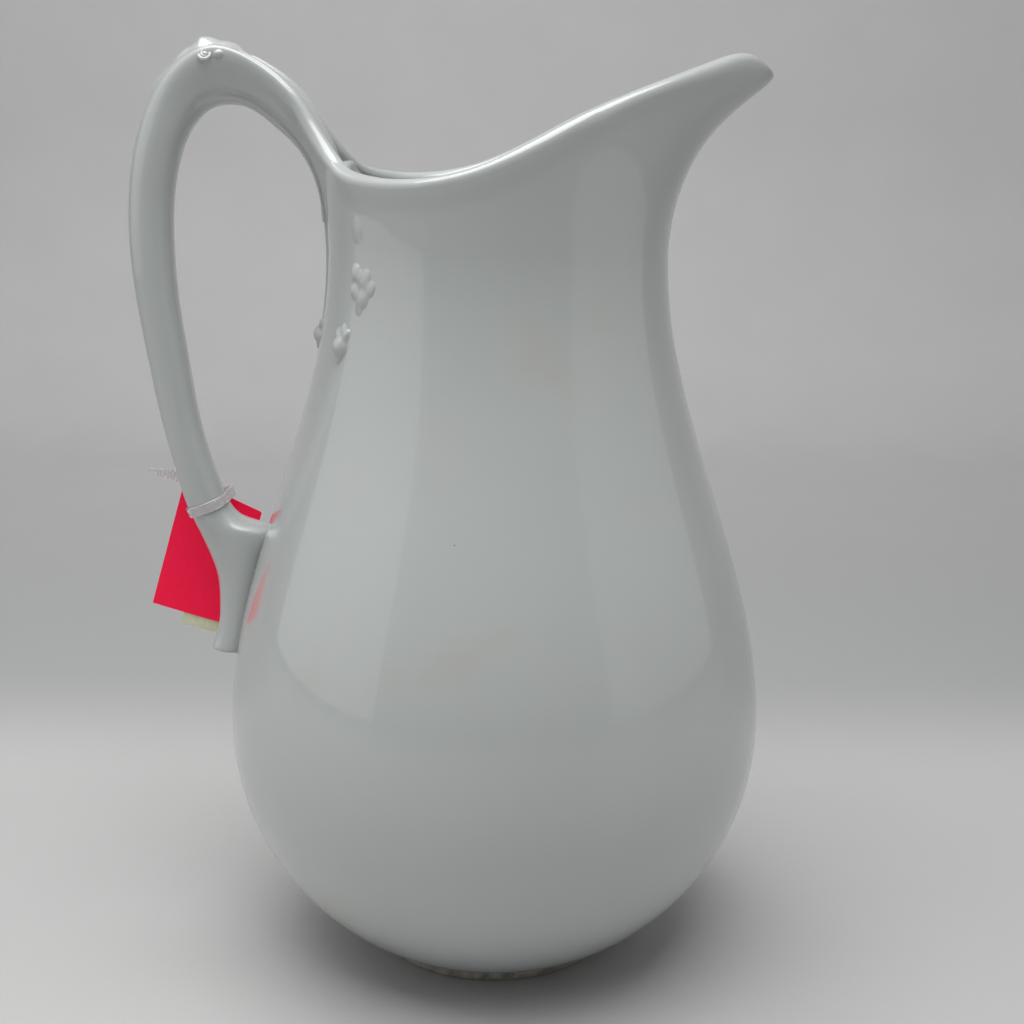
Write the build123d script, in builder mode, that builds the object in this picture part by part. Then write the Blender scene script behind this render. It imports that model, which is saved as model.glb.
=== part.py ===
"""A large glazed ewer, or water jug, with a high looped handle and a hand-cut price card tied to it.

Frame: the origin is the centre of the foot ring on the table, +Z is up, +X points to the spout and the
handle stands on the -X side. All sizes are in millimetres.
"""

import math
import os

from build123d import *

os.makedirs("parts", exist_ok=True)

# Vessel: an elliptical bowl under a long S-shaped shoulder that closes to the neck
BELLY_RADIUS = 93.9
BELLY_HEIGHT = 84.0
BOWL_DEPTH = 91.0
NECK_RADIUS = 57.0
NECK_HEIGHT = 250.0
WALL = 5.0
BASE_THICKNESS = 7.0

# Foot ring, a plain unglazed band under the bowl
FOOT_RADIUS = 43.0
FOOT_HEIGHT = 5.0
FOOT_WIDTH = 7.0
FOOT_FLARE = 1.5

# Lip: the mouth widens a little at its sides and runs far forward to the spout
SPOUT_REACH = 33.3
LIP_FLARE = 5.0
LIP_FLARE_RISE = 40.0
LIP_FLARE_CURVE = 1.5
LIP_BACK_FLARE_SHARE = 0.6
LIP_TOP = 66.0
SPOUT_POINT = 0.66
SPOUT_POINT_RISE = 62.0
SPOUT_POINT_CURVE = 1.7
SPOUT_NARROWING_CURVE = 1.5
SECTION_TURN = 15

# Sections drawn for the bowl and for the shoulder
BOWL_STEPS = 6
SHOULDER_STEPS = 7

# Ornaments: a leaf with a point and two ring scrolls on the crest, a rib, buds and leaf sprigs on the neck
CREST_LEAF_WIDTH = 9.0
CREST_LEAF_TAPER = 28.0
SCROLL_RADIUS = 1.9
SCROLL_WIRE = 0.8
SCROLL_TURN = 34.0
BUD_RADIUS = 4.0
BUD_LENGTH = 12.0
BUD_POINT_SHARE = 0.55
BUD_WIDEST_SHARE = 0.2
BUD_SHOULDER_SHARE = 0.85
BUD_POINT_SLOPE = 0.35
BUD_DROP = 29.0
BUD_SPREAD = 31.0
LEAF_SPREAD = 38.0
LEAF_RELIEF = 1.6
RIB_WIDTH = 5.0
RIB_RELIEF = 1.0

# Cable tie: a snug loop round the handle, a lock head behind it and a free tail
TIE_WIDTH = 3.6
TIE_THICKNESS = 1.1
TIE_CLEARANCE = 0.3
TIE_HEAD = (5.6, 4.2, 5.2)
TIE_HEAD_LIFT = 3.0
TIE_TAIL_TURN = 20.0
TIE_TAIL_LENGTH = 23.5
TIE_TAIL_DROOP = 2.4
TIE_TAIL_TIP = 1.3
TIE_TAIL_EVEN_SHARE = 0.55
LOOP_SLANT = 4.0
LOOP_STRAIGHT = 3.0
LOOP_FRONT_RADIUS = 6.2
LOOP_BACK_RADIUS = 3.0

# Hand-cut card hung on the tie by its punched hole, with a paper slip stuck to its back
CARD_WIDTH = 29.4
CARD_LENGTH = 49.1
CARD_THICKNESS = 0.4
CARD_TILT = 16.4
CARD_SKEW = 9.0
CARD_STAND_OFF = 2.0
CARD_PLAY = 1.1
HOLE_RADIUS = 2.6
HOLE_FROM_SIDE = 8.4
HOLE_FROM_TOP = 5.4
SLIP_WIDTH = 16.8
SLIP_FROM_SIDE = 11.7
SLIP_FROM_TOP = 14.7
SLIP_OVERHANG = 4.4
SLIP_THICKNESS = 0.25

# Spout underside: height above the neck and the share of the full reach there
SPOUT_LINE = (
    (0.0, 0.01),
    (10.0, 0.04),
    (20.0, 0.117),
    (30.0, 0.25),
    (40.0, 0.465),
    (48.0, 0.72),
    (54.0, 0.905),
    (60.0, 1.03),
    (LIP_TOP, 1.14),
)

# Rim line seen from the side: share of the way from the back of the mouth to the spout's tip, height above the neck
RIM_LINE = (
    (-0.10, 42.0),
    (-0.02, 35.0),
    (0.027, 28.0),
    (0.081, 24.8),
    (0.183, 23.7),
    (0.346, 28.0),
    (0.468, 36.0),
    (0.597, 45.7),
    (0.760, 56.0),
    (0.880, 62.2),
    (0.957, 63.0),
    (1.0, 58.2),
    (1.06, 48.0),
)

# Handle sections from the rim to the tail: standing off the vessel's wall and above the neck, first the outer side
# then the inner side, and the width across
HANDLE_SECTIONS = (
    (-1.5, 22.5, 3.0, 20.3, 38.0),
    (-0.2, 32.6, 7.8, 28.9, 35.0),
    (9.5, 50.2, 16.9, 38.5, 29.0),
    (24.0, 61.3, 27.4, 45.2, 25.5),
    (37.8, 65.0, 36.6, 45.0, 24.5),
    (50.0, 58.8, 41.4, 42.1, 22.5),
    (62.9, 36.2, 47.9, 32.2, 20.0),
    (66.7, 16.0, 51.8, 16.3, 18.5),
    (67.1, -2.7, 52.6, -2.7, 18.0),
    (64.0, -20.3, 50.1, -20.3, 17.5),
    (56.1, -42.5, 43.3, -41.0, 17.0),
    (46.7, -62.5, 35.3, -59.5, 16.6),
    (36.0, -81.1, 25.4, -76.5, 17.0),
    (30.5, -90.1, 19.6, -85.1, 17.0),
    (27.1, -94.7, 16.2, -89.7, 17.0),
    (25.0, -97.5, 10.7, -94.2, 17.0),
    (21.3, -102.5, -1.0, -98.5, 17.0),
    (17.0, -108.5, -2.5, -107.0, 16.0),
    (12.9, -115.5, -2.5, -116.0, 15.0),
    (9.6, -126.5, -3.0, -128.0, 14.0),
    (8.8, -136.5, -3.2, -139.0, 13.5),
    (10.0, -141.6, -2.6, -143.0, 13.5),
)
TIE_SECTION = (28.7, -92.4, 18.0, -87.4)
TIE_SECTION_WIDTH = 17.0

# Side outline of the crest leaf: standing off the wall and above the neck, then where it sinks into the strap
CREST_LEAF = (
    (54.5, 53.8),
    (50.8, 59.8),
    (46.0, 64.6),
    (41.2, 68.5),
    (37.5, 67.0),
    (30.0, 64.8),
    (30.0, 59.0),
    (45.0, 55.0),
    (53.0, 48.0),
)

# Lobes of a neck sprig: turn from the sprig's middle, height above the neck, half length, half width, lean
LEAF_LOBES = (
    (0.0, 3.0, 7.5, 2.6, 0.0),
    (0.0, -9.0, 7.0, 3.2, 0.0),
    (-4.5, -13.5, 5.5, 2.7, 38.0),
    (4.5, -13.5, 5.5, 2.7, -38.0),
)

# Rib down the back of the neck: height above the neck and share of the full width
RIB_LINE = ((-27.0, 0.6), (-12.0, 0.8), (4.0, 1.0), (18.0, 1.3))


def vessel_radius(height: float, inset: float = 0) -> float:
    """Radius of the vessel's wall at a height, drawn in by an inset; above the neck it is the neck's own."""
    if height <= BELLY_HEIGHT:
        drop = (BELLY_HEIGHT - height) / (BOWL_DEPTH - inset)
        return (BELLY_RADIUS - inset) * math.sqrt(1 - drop * drop)
    share = min(1.0, (height - BELLY_HEIGHT) / (NECK_HEIGHT - BELLY_HEIGHT))
    return BELLY_RADIUS + (NECK_RADIUS - BELLY_RADIUS) * share * share * (3 - 2 * share) - inset


def beside_wall(stand_off: float, rise: float) -> Vector:
    """A point behind the vessel, by its distance from the wall and its height above the neck."""
    height = NECK_HEIGHT + rise
    return Vector(-vessel_radius(height) - stand_off, 0, height)


def on_wall(azimuth: float, height: float, proud: float) -> Plane:
    """A plane on the back of the neck facing outwards, turned from the handle by an azimuth in degrees."""
    turn = math.radians(180 + azimuth)
    reach = vessel_radius(height) + proud
    outward = Vector(math.cos(turn), math.sin(turn), 0)
    return Plane(origin=outward * reach + Vector(0, 0, height), x_dir=(0, 0, 1), z_dir=outward)


def vessel_section(height: float, share: float, inset: float) -> Face:
    """The vessel's outline at a height: a circle up to the neck, then egg-shaped towards the spout's share."""
    radius = vessel_radius(height, inset)
    rise = max(0.0, height - NECK_HEIGHT)
    flare = LIP_FLARE * min(1.0, rise / LIP_FLARE_RISE) ** LIP_FLARE_CURVE
    front = radius + SPOUT_REACH * share
    back = radius + LIP_BACK_FLARE_SHARE * flare
    side = radius + flare
    point = SPOUT_POINT * min(1.0, rise / SPOUT_POINT_RISE) ** SPOUT_POINT_CURVE
    outline = []
    for angle in range(90, 450, SECTION_TURN):
        along = math.cos(math.radians(angle))
        narrowing = 1 - point * max(0.0, along) ** SPOUT_NARROWING_CURVE
        reach = front if along > 0 else back
        outline.append((reach * along, side * math.sin(math.radians(angle)) * narrowing))
    with BuildSketch(Plane.XY.offset(height)) as section:
        with BuildLine():
            Spline(*outline, periodic=True)
        make_face()
    return section.sketch.face()


def vessel_sections(bottom: float, inset: float) -> list[Face]:
    """Sections of the vessel from a bottom height to the top of the lip."""
    depth = BOWL_DEPTH - inset
    turn = math.asin((BELLY_HEIGHT - bottom) / depth)
    bowl = [BELLY_HEIGHT - depth * math.sin(turn * step / BOWL_STEPS) for step in range(BOWL_STEPS, 0, -1)]
    rise = NECK_HEIGHT - BELLY_HEIGHT
    shoulder = [BELLY_HEIGHT + rise * step / SHOULDER_STEPS for step in range(SHOULDER_STEPS)]
    sections = [vessel_section(height, 0, inset) for height in bowl + shoulder]
    return sections + [vessel_section(NECK_HEIGHT + above, share, inset) for above, share in SPOUT_LINE]


def section_plane(outer: Vector, inner: Vector) -> Plane:
    """The plane of a handle section, from its outer to its inner side, square to the handle."""
    across = (inner - outer).normalized()
    return Plane(origin=(outer + inner) * 0.5, x_dir=across, z_dir=across.cross(Vector(0, 1, 0)))


def strap_section(outer: Vector, inner: Vector, width: float) -> Face:
    """One oval section of the handle."""
    with BuildSketch(section_plane(outer, inner)) as section:
        Ellipse((inner - outer).length / 2, width / 2)
    return section.sketch.face()


# The vessel's outer form, filled, and its inside
with BuildPart() as vessel_form:
    loft(vessel_sections(FOOT_HEIGHT, 0))
    with BuildSketch(Plane.XZ):
        with BuildLine():
            mouth_length = 2 * NECK_RADIUS + SPOUT_REACH
            rim_points = [(share * mouth_length - NECK_RADIUS, NECK_HEIGHT + rise) for share, rise in RIM_LINE]
            Spline(*rim_points)
            clear = NECK_HEIGHT + 2 * LIP_TOP
            Polyline(rim_points[-1], (rim_points[-1][0], clear), (rim_points[0][0], clear), rim_points[0])
        make_face()
    extrude(amount=2 * NECK_RADIUS, both=True, mode=Mode.SUBTRACT)

with BuildPart() as vessel_cavity:
    loft(vessel_sections(FOOT_HEIGHT + BASE_THICKNESS, WALL))

with BuildPart() as jug_body:
    add(vessel_form.part)
    add(vessel_cavity.part, mode=Mode.SUBTRACT)
jug_body.part.label = "jug_body"
export_step(jug_body.part, "parts/jug_body.step")

# The foot ring stands under the flat of the bowl
with BuildPart() as foot_ring:
    with BuildSketch(Plane.XZ):
        with BuildLine():
            Polyline(
                (FOOT_RADIUS - FOOT_WIDTH, 0),
                (FOOT_RADIUS, 0),
                (FOOT_RADIUS + FOOT_FLARE, FOOT_HEIGHT),
                (FOOT_RADIUS - FOOT_WIDTH - FOOT_FLARE, FOOT_HEIGHT),
                close=True,
            )
        make_face()
    revolve(axis=Axis.Z)
foot_ring.part.label = "foot_ring"
export_step(foot_ring.part, "parts/foot_ring.step")

# The handle: one strap from the rim over the crest and down to the forked foot that lies along the bowl
with BuildPart() as handle:
    loft(
        [
            strap_section(beside_wall(out_off, out_rise), beside_wall(in_off, in_rise), width)
            for out_off, out_rise, in_off, in_rise, width in HANDLE_SECTIONS
        ]
    )
    add(vessel_form.part, mode=Mode.SUBTRACT)
handle.part.label = "handle"
export_step(handle.part, "parts/handle.step")

# Crest ornaments
crest_outer, crest_inner = (beside_wall(*HANDLE_SECTIONS[4][0:2]), beside_wall(*HANDLE_SECTIONS[4][2:4]))
crest_center = (crest_outer + crest_inner) * 0.5
crest_half_height = (crest_outer - crest_inner).length / 2
crest_half_width = HANDLE_SECTIONS[4][4] / 2

with BuildPart() as crest_leaf:
    with BuildSketch(Plane.XZ):
        with BuildLine():
            Polyline(*[(point.X, point.Z) for point in (beside_wall(*row) for row in CREST_LEAF)], close=True)
        make_face()
    extrude(amount=CREST_LEAF_WIDTH / 2, both=True, taper=CREST_LEAF_TAPER)
    add(handle.part, mode=Mode.SUBTRACT)
crest_leaf.part.label = "crest_leaf"
export_step(crest_leaf.part, "parts/crest_leaf.step")

for side, name in ((1, "crest_scroll_left"), (-1, "crest_scroll_right")):
    turn = math.radians(SCROLL_TURN)
    spot = crest_center + Vector(
        0, side * crest_half_width * math.cos(turn), crest_half_height * math.sin(turn)
    )
    outward = Vector(
        0, side * math.cos(turn) / crest_half_width, math.sin(turn) / crest_half_height
    ).normalized()
    with BuildPart() as scroll:
        with Locations(Plane(origin=spot, x_dir=(1, 0, 0), z_dir=outward)):
            Torus(SCROLL_RADIUS, SCROLL_WIRE)
            Cylinder(SCROLL_RADIUS, SCROLL_WIRE)
        add(handle.part, mode=Mode.SUBTRACT)
    scroll.part.label = name
    export_step(scroll.part, f"parts/{name}.step")

# Neck ornaments: a rib, three drop buds and a leaf sprig on each side of the handle's root
with BuildPart() as neck_rib:
    ribs = []
    for rise, share in RIB_LINE:
        height = NECK_HEIGHT + rise
        wall_point = Vector(-vessel_radius(height), 0, height)
        with BuildSketch(Plane(origin=wall_point, x_dir=(1, 0, 0), z_dir=(0, 0, 1))) as rib_section:
            Ellipse(RIB_RELIEF * share, RIB_WIDTH * share / 2)
        ribs.append(rib_section.sketch.face())
    loft(ribs)
    add(vessel_form.part, mode=Mode.SUBTRACT)
    add(handle.part, mode=Mode.SUBTRACT)
neck_rib.part.label = "neck_rib"
export_step(neck_rib.part, "parts/neck_rib.step")


def drop_bud(azimuth: float) -> Part:
    """A drop-shaped bud, round above and pointed below, half sunk in the neck."""
    seat = on_wall(azimuth, NECK_HEIGHT - BUD_DROP, 0)
    point_end = -BUD_POINT_SHARE * BUD_LENGTH
    with BuildPart() as bud:
        with BuildSketch(seat):
            with BuildLine():
                Spline(
                    (point_end, 0),
                    (0, BUD_SHOULDER_SHARE * BUD_RADIUS),
                    (BUD_WIDEST_SHARE * BUD_LENGTH, BUD_RADIUS),
                    (point_end + BUD_LENGTH, 0),
                    tangents=((1, BUD_POINT_SLOPE), (0, -1)),
                )
                Line((point_end, 0), (point_end + BUD_LENGTH, 0))
            make_face()
        revolve(axis=Axis(seat.origin, seat.x_dir))
        add(vessel_form.part, mode=Mode.SUBTRACT)
        add(neck_rib.part, mode=Mode.SUBTRACT)
    return bud.part


for azimuth, name in ((0, "bud_center"), (-BUD_SPREAD, "bud_left"), (BUD_SPREAD, "bud_right")):
    bud = drop_bud(azimuth)
    bud.label = name
    export_step(bud, f"parts/{name}.step")

for side, name in ((-1, "leaf_sprig_left"), (1, "leaf_sprig_right")):
    with BuildPart() as sprig:
        for turn, rise, half_length, half_width, lean in LEAF_LOBES:
            azimuth = side * (LEAF_SPREAD + turn)
            seat = on_wall(azimuth, NECK_HEIGHT + rise, LEAF_RELIEF - half_width).rotated((0, 0, side * lean))
            with BuildSketch(seat):
                Ellipse(half_length, half_width)
                split(bisect_by=Plane.XZ)
            revolve(axis=Axis(seat.origin, seat.x_dir))
        add(vessel_form.part, mode=Mode.SUBTRACT)
    sprig.part.label = name
    export_step(sprig.part, f"parts/{name}.step")

# Cable tie, drawn in the plane of a section of the handle
tie_outer, tie_inner = (beside_wall(*TIE_SECTION[0:2]), beside_wall(*TIE_SECTION[2:4]))
tie_plane = section_plane(tie_outer, tie_inner)
tie_half = (tie_inner - tie_outer).length / 2 + TIE_CLEARANCE
tie_front = TIE_SECTION_WIDTH / 2 + TIE_CLEARANCE
card_face = TIE_SECTION_WIDTH / 2 + CARD_STAND_OFF
tie_back = card_face + CARD_THICKNESS + SLIP_THICKNESS + CARD_PLAY
loop_lean = LOOP_SLANT / (tie_back - LOOP_STRAIGHT)
hole_offset = tie_half - loop_lean * (card_face - LOOP_STRAIGHT) + TIE_THICKNESS / 2
hole_center = tie_plane.from_local_coords(Vector(-hole_offset, 0, 0))


def tie_outline() -> Wire:
    """The inside of the tie: round the front of the handle, then out behind it to let the card through."""
    with BuildLine() as outline:
        FilletPolyline(
            (-tie_half, -tie_front),
            (tie_half, -tie_front),
            (tie_half, tie_back),
            (LOOP_SLANT - tie_half, tie_back),
            (-tie_half, LOOP_STRAIGHT),
            radius=[LOOP_FRONT_RADIUS, LOOP_FRONT_RADIUS, LOOP_BACK_RADIUS, TIE_THICKNESS, LOOP_BACK_RADIUS],
            close=True,
        )
    return outline.wire()


with BuildPart() as tag_tie:
    with BuildSketch(tie_plane):
        with BuildLine():
            add(tie_outline())
        make_face()
        offset(amount=TIE_THICKNESS)
        with BuildLine():
            add(tie_outline())
        make_face(mode=Mode.SUBTRACT)
    extrude(amount=TIE_WIDTH / 2, both=True)
    head_center = tie_plane.from_local_coords(Vector(0, tie_back + TIE_HEAD[1] / 2, TIE_HEAD_LIFT))
    tail_turn = math.radians(TIE_TAIL_TURN)
    head_plane = Plane(
        origin=head_center, x_dir=(-math.cos(tail_turn), 0, math.sin(tail_turn)), z_dir=(0, 1, 0)
    )
    with BuildSketch(head_plane.offset(-TIE_HEAD[1] / 2)):
        Rectangle(TIE_HEAD[0], TIE_HEAD[2])
    extrude(amount=TIE_HEAD[1])
    with BuildSketch(head_plane.offset(-TIE_THICKNESS / 2)):
        with BuildLine():
            half = TIE_WIDTH / 2
            tip = (TIE_TAIL_LENGTH, -TIE_TAIL_DROOP)
            even_end = TIE_TAIL_EVEN_SHARE * TIE_TAIL_LENGTH
            Spline((0, half), (even_end, half), (tip[0], tip[1] + TIE_TAIL_TIP / 2))
            Line((tip[0], tip[1] + TIE_TAIL_TIP / 2), (tip[0], tip[1] - TIE_TAIL_TIP / 2))
            Spline((tip[0], tip[1] - TIE_TAIL_TIP / 2), (even_end, -half), (0, -half))
            Line((0, -half), (0, half))
        make_face()
    extrude(amount=TIE_THICKNESS)
    add(handle.part, mode=Mode.SUBTRACT)
tag_tie.part.label = "tag_tie"
export_step(tag_tie.part, "parts/tag_tie.step")

# The card's own plane: origin at the hole, X along its lower edge, Y down its length, thickness towards +Y
tilt = math.radians(CARD_TILT)
card_plane = Plane(
    origin=(hole_center.X, card_face, hole_center.Z),
    x_dir=(math.cos(tilt), 0, -math.sin(tilt)),
    z_dir=(0, 1, 0),
)
card_skew = math.tan(math.radians(CARD_SKEW))
card_left = -HOLE_FROM_SIDE
card_right = CARD_WIDTH - HOLE_FROM_SIDE
card_top = -HOLE_FROM_TOP + card_left * card_skew
card_bottom = card_top + CARD_LENGTH

with BuildPart() as tag_card:
    with BuildSketch(card_plane):
        with BuildLine():
            Polyline(
                (card_left, card_top),
                (card_right, card_top + CARD_WIDTH * card_skew),
                (card_right, card_bottom),
                (card_left, card_bottom),
                close=True,
            )
        make_face()
        Circle(HOLE_RADIUS, mode=Mode.SUBTRACT)
    extrude(amount=CARD_THICKNESS)
tag_card.part.label = "tag_card"
export_step(tag_card.part, "parts/tag_card.step")

with BuildPart() as tag_slip:
    slip_left = card_left + SLIP_FROM_SIDE
    slip_top = card_top + SLIP_FROM_TOP
    with BuildSketch(card_plane.offset(CARD_THICKNESS)):
        with BuildLine():
            Polyline(
                (slip_left, slip_top),
                (slip_left + SLIP_WIDTH, slip_top),
                (slip_left + SLIP_WIDTH, card_bottom + SLIP_OVERHANG),
                (slip_left, card_bottom + SLIP_OVERHANG),
                close=True,
            )
        make_face()
    extrude(amount=SLIP_THICKNESS)
tag_slip.part.label = "tag_slip"
export_step(tag_slip.part, "parts/tag_slip.step")
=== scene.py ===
"""A large glazed ewer with a looped, leaf-crested handle and a hand-cut price card hung on it by a cable tie.

Every length in the classes is in millimetres, in the part's own frame: the origin is the centre of the foot
on the table, +Z is up, +X points to the spout and the handle stands on the -X side. Meshes are scaled to metres
when they are linked.
"""

import logging
import math
from collections.abc import Sequence
from dataclasses import dataclass, field
from enum import Enum

import bpy
import numpy as np
from mathutils import Euler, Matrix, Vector, noise

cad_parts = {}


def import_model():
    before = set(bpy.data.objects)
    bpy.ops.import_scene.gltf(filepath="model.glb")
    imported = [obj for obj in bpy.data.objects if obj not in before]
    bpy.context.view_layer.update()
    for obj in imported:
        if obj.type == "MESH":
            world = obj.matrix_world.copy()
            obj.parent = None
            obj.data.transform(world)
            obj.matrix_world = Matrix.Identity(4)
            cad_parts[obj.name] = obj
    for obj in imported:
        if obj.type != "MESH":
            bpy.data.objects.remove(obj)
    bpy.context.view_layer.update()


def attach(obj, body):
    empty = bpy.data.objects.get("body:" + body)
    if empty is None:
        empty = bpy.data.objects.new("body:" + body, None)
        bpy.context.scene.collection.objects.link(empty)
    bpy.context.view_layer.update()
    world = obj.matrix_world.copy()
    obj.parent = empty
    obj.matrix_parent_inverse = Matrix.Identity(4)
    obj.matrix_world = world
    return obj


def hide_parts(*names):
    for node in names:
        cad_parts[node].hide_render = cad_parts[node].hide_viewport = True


MM = 0.001
log = logging.getLogger("jug")

Row = tuple[float, ...]
Color = tuple[float, float, float]


class Body(Enum):
    """The part's moving bodies."""

    JUG = "jug"
    TAG = "tag"


class Slot(Enum):
    """The record's material slots."""

    GLAZE = "white_glaze"
    FOOT = "bare_foot"
    TIE = "clear_tie"
    CARD = "red_card"
    SLIP = "pale_slip"


# ----------------------------------------------------------------------------------------------------
# Curves and meshes
# ----------------------------------------------------------------------------------------------------


def smooth_step(low: float, high: float, value: float) -> float:
    """Rises smoothly from 0 at low to 1 at high.

    Args:
        low: The value where the rise starts.
        high: The value where it ends.
        value: The value asked about.

    Returns:
        The share of the rise, from 0 to 1.
    """
    share = min(1.0, max(0.0, (value - low) / (high - low)))
    return share * share * (3 - 2 * share)


def soft_max(values: Sequence[float], softness: float) -> float:
    """The largest of some values, rounded where two of them meet.

    Args:
        values: The values.
        softness: How wide the rounding is, in the values' own unit.

    Returns:
        A value slightly above the largest one.
    """
    top = max(values)
    return top + softness * math.log(sum(math.exp((value - top) / softness) for value in values))


class Spline:
    """A natural cubic curve through rows of numbers, spaced by its own parameter."""

    def __init__(self, keys: Sequence[float], rows: Sequence[Row]) -> None:
        """Solves the curve.

        Args:
            keys: The rising parameter of each row.
            rows: The rows that the curve passes through.
        """
        self.keys = np.asarray(keys, float)
        self.rows = np.asarray(rows, float)
        if self.rows.ndim == 1:
            self.rows = self.rows[:, None]
        count = len(self.keys)
        gaps = np.diff(self.keys)
        system = np.eye(count)
        target = np.zeros_like(self.rows)
        for at in range(1, count - 1):
            system[at, at - 1 : at + 2] = gaps[at - 1], 2 * (gaps[at - 1] + gaps[at]), gaps[at]
            ahead = (self.rows[at + 1] - self.rows[at]) / gaps[at]
            rise = ahead - (self.rows[at] - self.rows[at - 1]) / gaps[at - 1]
            target[at] = 6 * rise
        self.bends = np.linalg.solve(system, target)

    def at(self, key: float) -> np.ndarray:
        """The row at a parameter, held at its ends.

        Args:
            key: The parameter.

        Returns:
            The row there.
        """
        key = min(max(key, self.keys[0]), self.keys[-1])
        span = min(int(np.searchsorted(self.keys, key, side="right")) - 1, len(self.keys) - 2)
        gap = self.keys[span + 1] - self.keys[span]
        ahead, behind = (self.keys[span + 1] - key) / gap, (key - self.keys[span]) / gap
        bend = (ahead**3 - ahead) * self.bends[span] + (behind**3 - behind) * self.bends[span + 1]
        return ahead * self.rows[span] + behind * self.rows[span + 1] + bend * gap * gap / 6

    def value(self, key: float) -> float:
        """The first number of the row at a parameter."""
        return float(self.at(key)[0])


def wheel_faces(rings: int, spokes: int, start: int = 0) -> list[tuple[int, ...]]:
    """Quads that join rings of points one after another.

    Args:
        rings: The number of rings.
        spokes: The number of points in each ring.
        start: The index of the first point.

    Returns:
        The faces, as tuples of point indices.
    """
    faces = []
    for ring in range(rings - 1):
        low = start + ring * spokes
        for spoke in range(spokes):
            beside = (spoke + 1) % spokes
            faces.append((low + spoke, low + beside, low + spokes + beside, low + spokes + spoke))
    return faces


@dataclass
class Form:
    """Points and faces of a mesh under construction, in millimetres."""

    points: list[Row] = field(default_factory=list)
    faces: list[tuple[int, ...]] = field(default_factory=list)

    def add_rings(self, rings: Sequence[Sequence[Row]], close: bool = True) -> None:
        """Adds a skin over rings of points.

        Args:
            rings: Rings with the same number of points each.
            close: Whether flat faces close both ends.
        """
        start, spokes = len(self.points), len(rings[0])
        for ring in rings:
            self.points.extend(tuple(float(part) for part in point) for point in ring)
        self.faces.extend(wheel_faces(len(rings), spokes, start))
        if close:
            last = start + (len(rings) - 1) * spokes
            self.faces.append(tuple(start + spoke for spoke in reversed(range(spokes))))
            self.faces.append(tuple(last + spoke for spoke in range(spokes)))

    def add_slab(self, top: np.ndarray, bottom: np.ndarray) -> None:
        """Adds a closed sheet between an upper and a lower grid of points.

        Args:
            top: The upper grid, rows by columns by 3.
            bottom: The lower grid, of the same shape.
        """
        rows, columns = top.shape[:2]
        start = len(self.points)
        for layer in (top, bottom):
            self.points.extend(tuple(float(part) for part in point) for point in layer.reshape(-1, 3))
        size = rows * columns

        def spot(layer: int, row: int, column: int) -> int:
            """The index of a point."""
            return start + layer * size + row * columns + column

        for row in range(rows - 1):
            for column in range(columns - 1):
                corners = ((row, column), (row, column + 1), (row + 1, column + 1), (row + 1, column))
                self.faces.append(tuple(spot(0, *corner) for corner in corners))
                self.faces.append(tuple(spot(1, *corner) for corner in reversed(corners)))
        edge = [(0, column) for column in range(columns)]
        edge += [(row, columns - 1) for row in range(1, rows)]
        edge += [(rows - 1, column) for column in reversed(range(columns - 1))]
        edge += [(row, 0) for row in reversed(range(1, rows - 1))]
        for here, after in zip(edge, edge[1:] + edge[:1]):
            self.faces.append((spot(0, *after), spot(0, *here), spot(1, *here), spot(1, *after)))

    def link(self, name: str, material: bpy.types.Material, sharp: float = 40.0) -> bpy.types.Object:
        """Makes the mesh object.

        Args:
            name: The object's name.
            material: Its material.
            sharp: The angle in degrees over which an edge stays sharp.

        Returns:
            The linked object, in metres.
        """
        mesh = bpy.data.meshes.new(name)
        mesh.from_pydata([tuple(part * MM for part in point) for point in self.points], [], self.faces)
        mesh.validate()
        mesh.materials.append(material)
        piece = bpy.data.objects.new(name, mesh)
        bpy.context.scene.collection.objects.link(piece)
        bpy.context.view_layer.objects.active = piece
        piece.select_set(True)
        bpy.ops.object.mode_set(mode="EDIT")
        bpy.ops.mesh.select_all(action="SELECT")
        bpy.ops.mesh.normals_make_consistent(inside=False)
        bpy.ops.object.mode_set(mode="OBJECT")
        bpy.ops.object.shade_smooth_by_angle(angle=math.radians(sharp))
        piece.select_set(False)
        return piece


def settle(piece: bpy.types.Object, body: Body, slot: Slot, *nodes: str) -> bpy.types.Object:
    """Hangs a finished piece on its body, in place of the nodes it stands for.

    Args:
        piece: The piece.
        body: The body it moves with.
        slot: The material slot of its finish; not used.
        nodes: The nodes it replaces.

    Returns:
        The piece.
    """
    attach(piece, body.value)
    if nodes:
        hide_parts(*nodes)
    log.info("%s: %d faces, rides on %s", piece.name, len(piece.data.polygons), body.value)
    return piece


# ----------------------------------------------------------------------------------------------------
# Finishes
# ----------------------------------------------------------------------------------------------------


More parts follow.
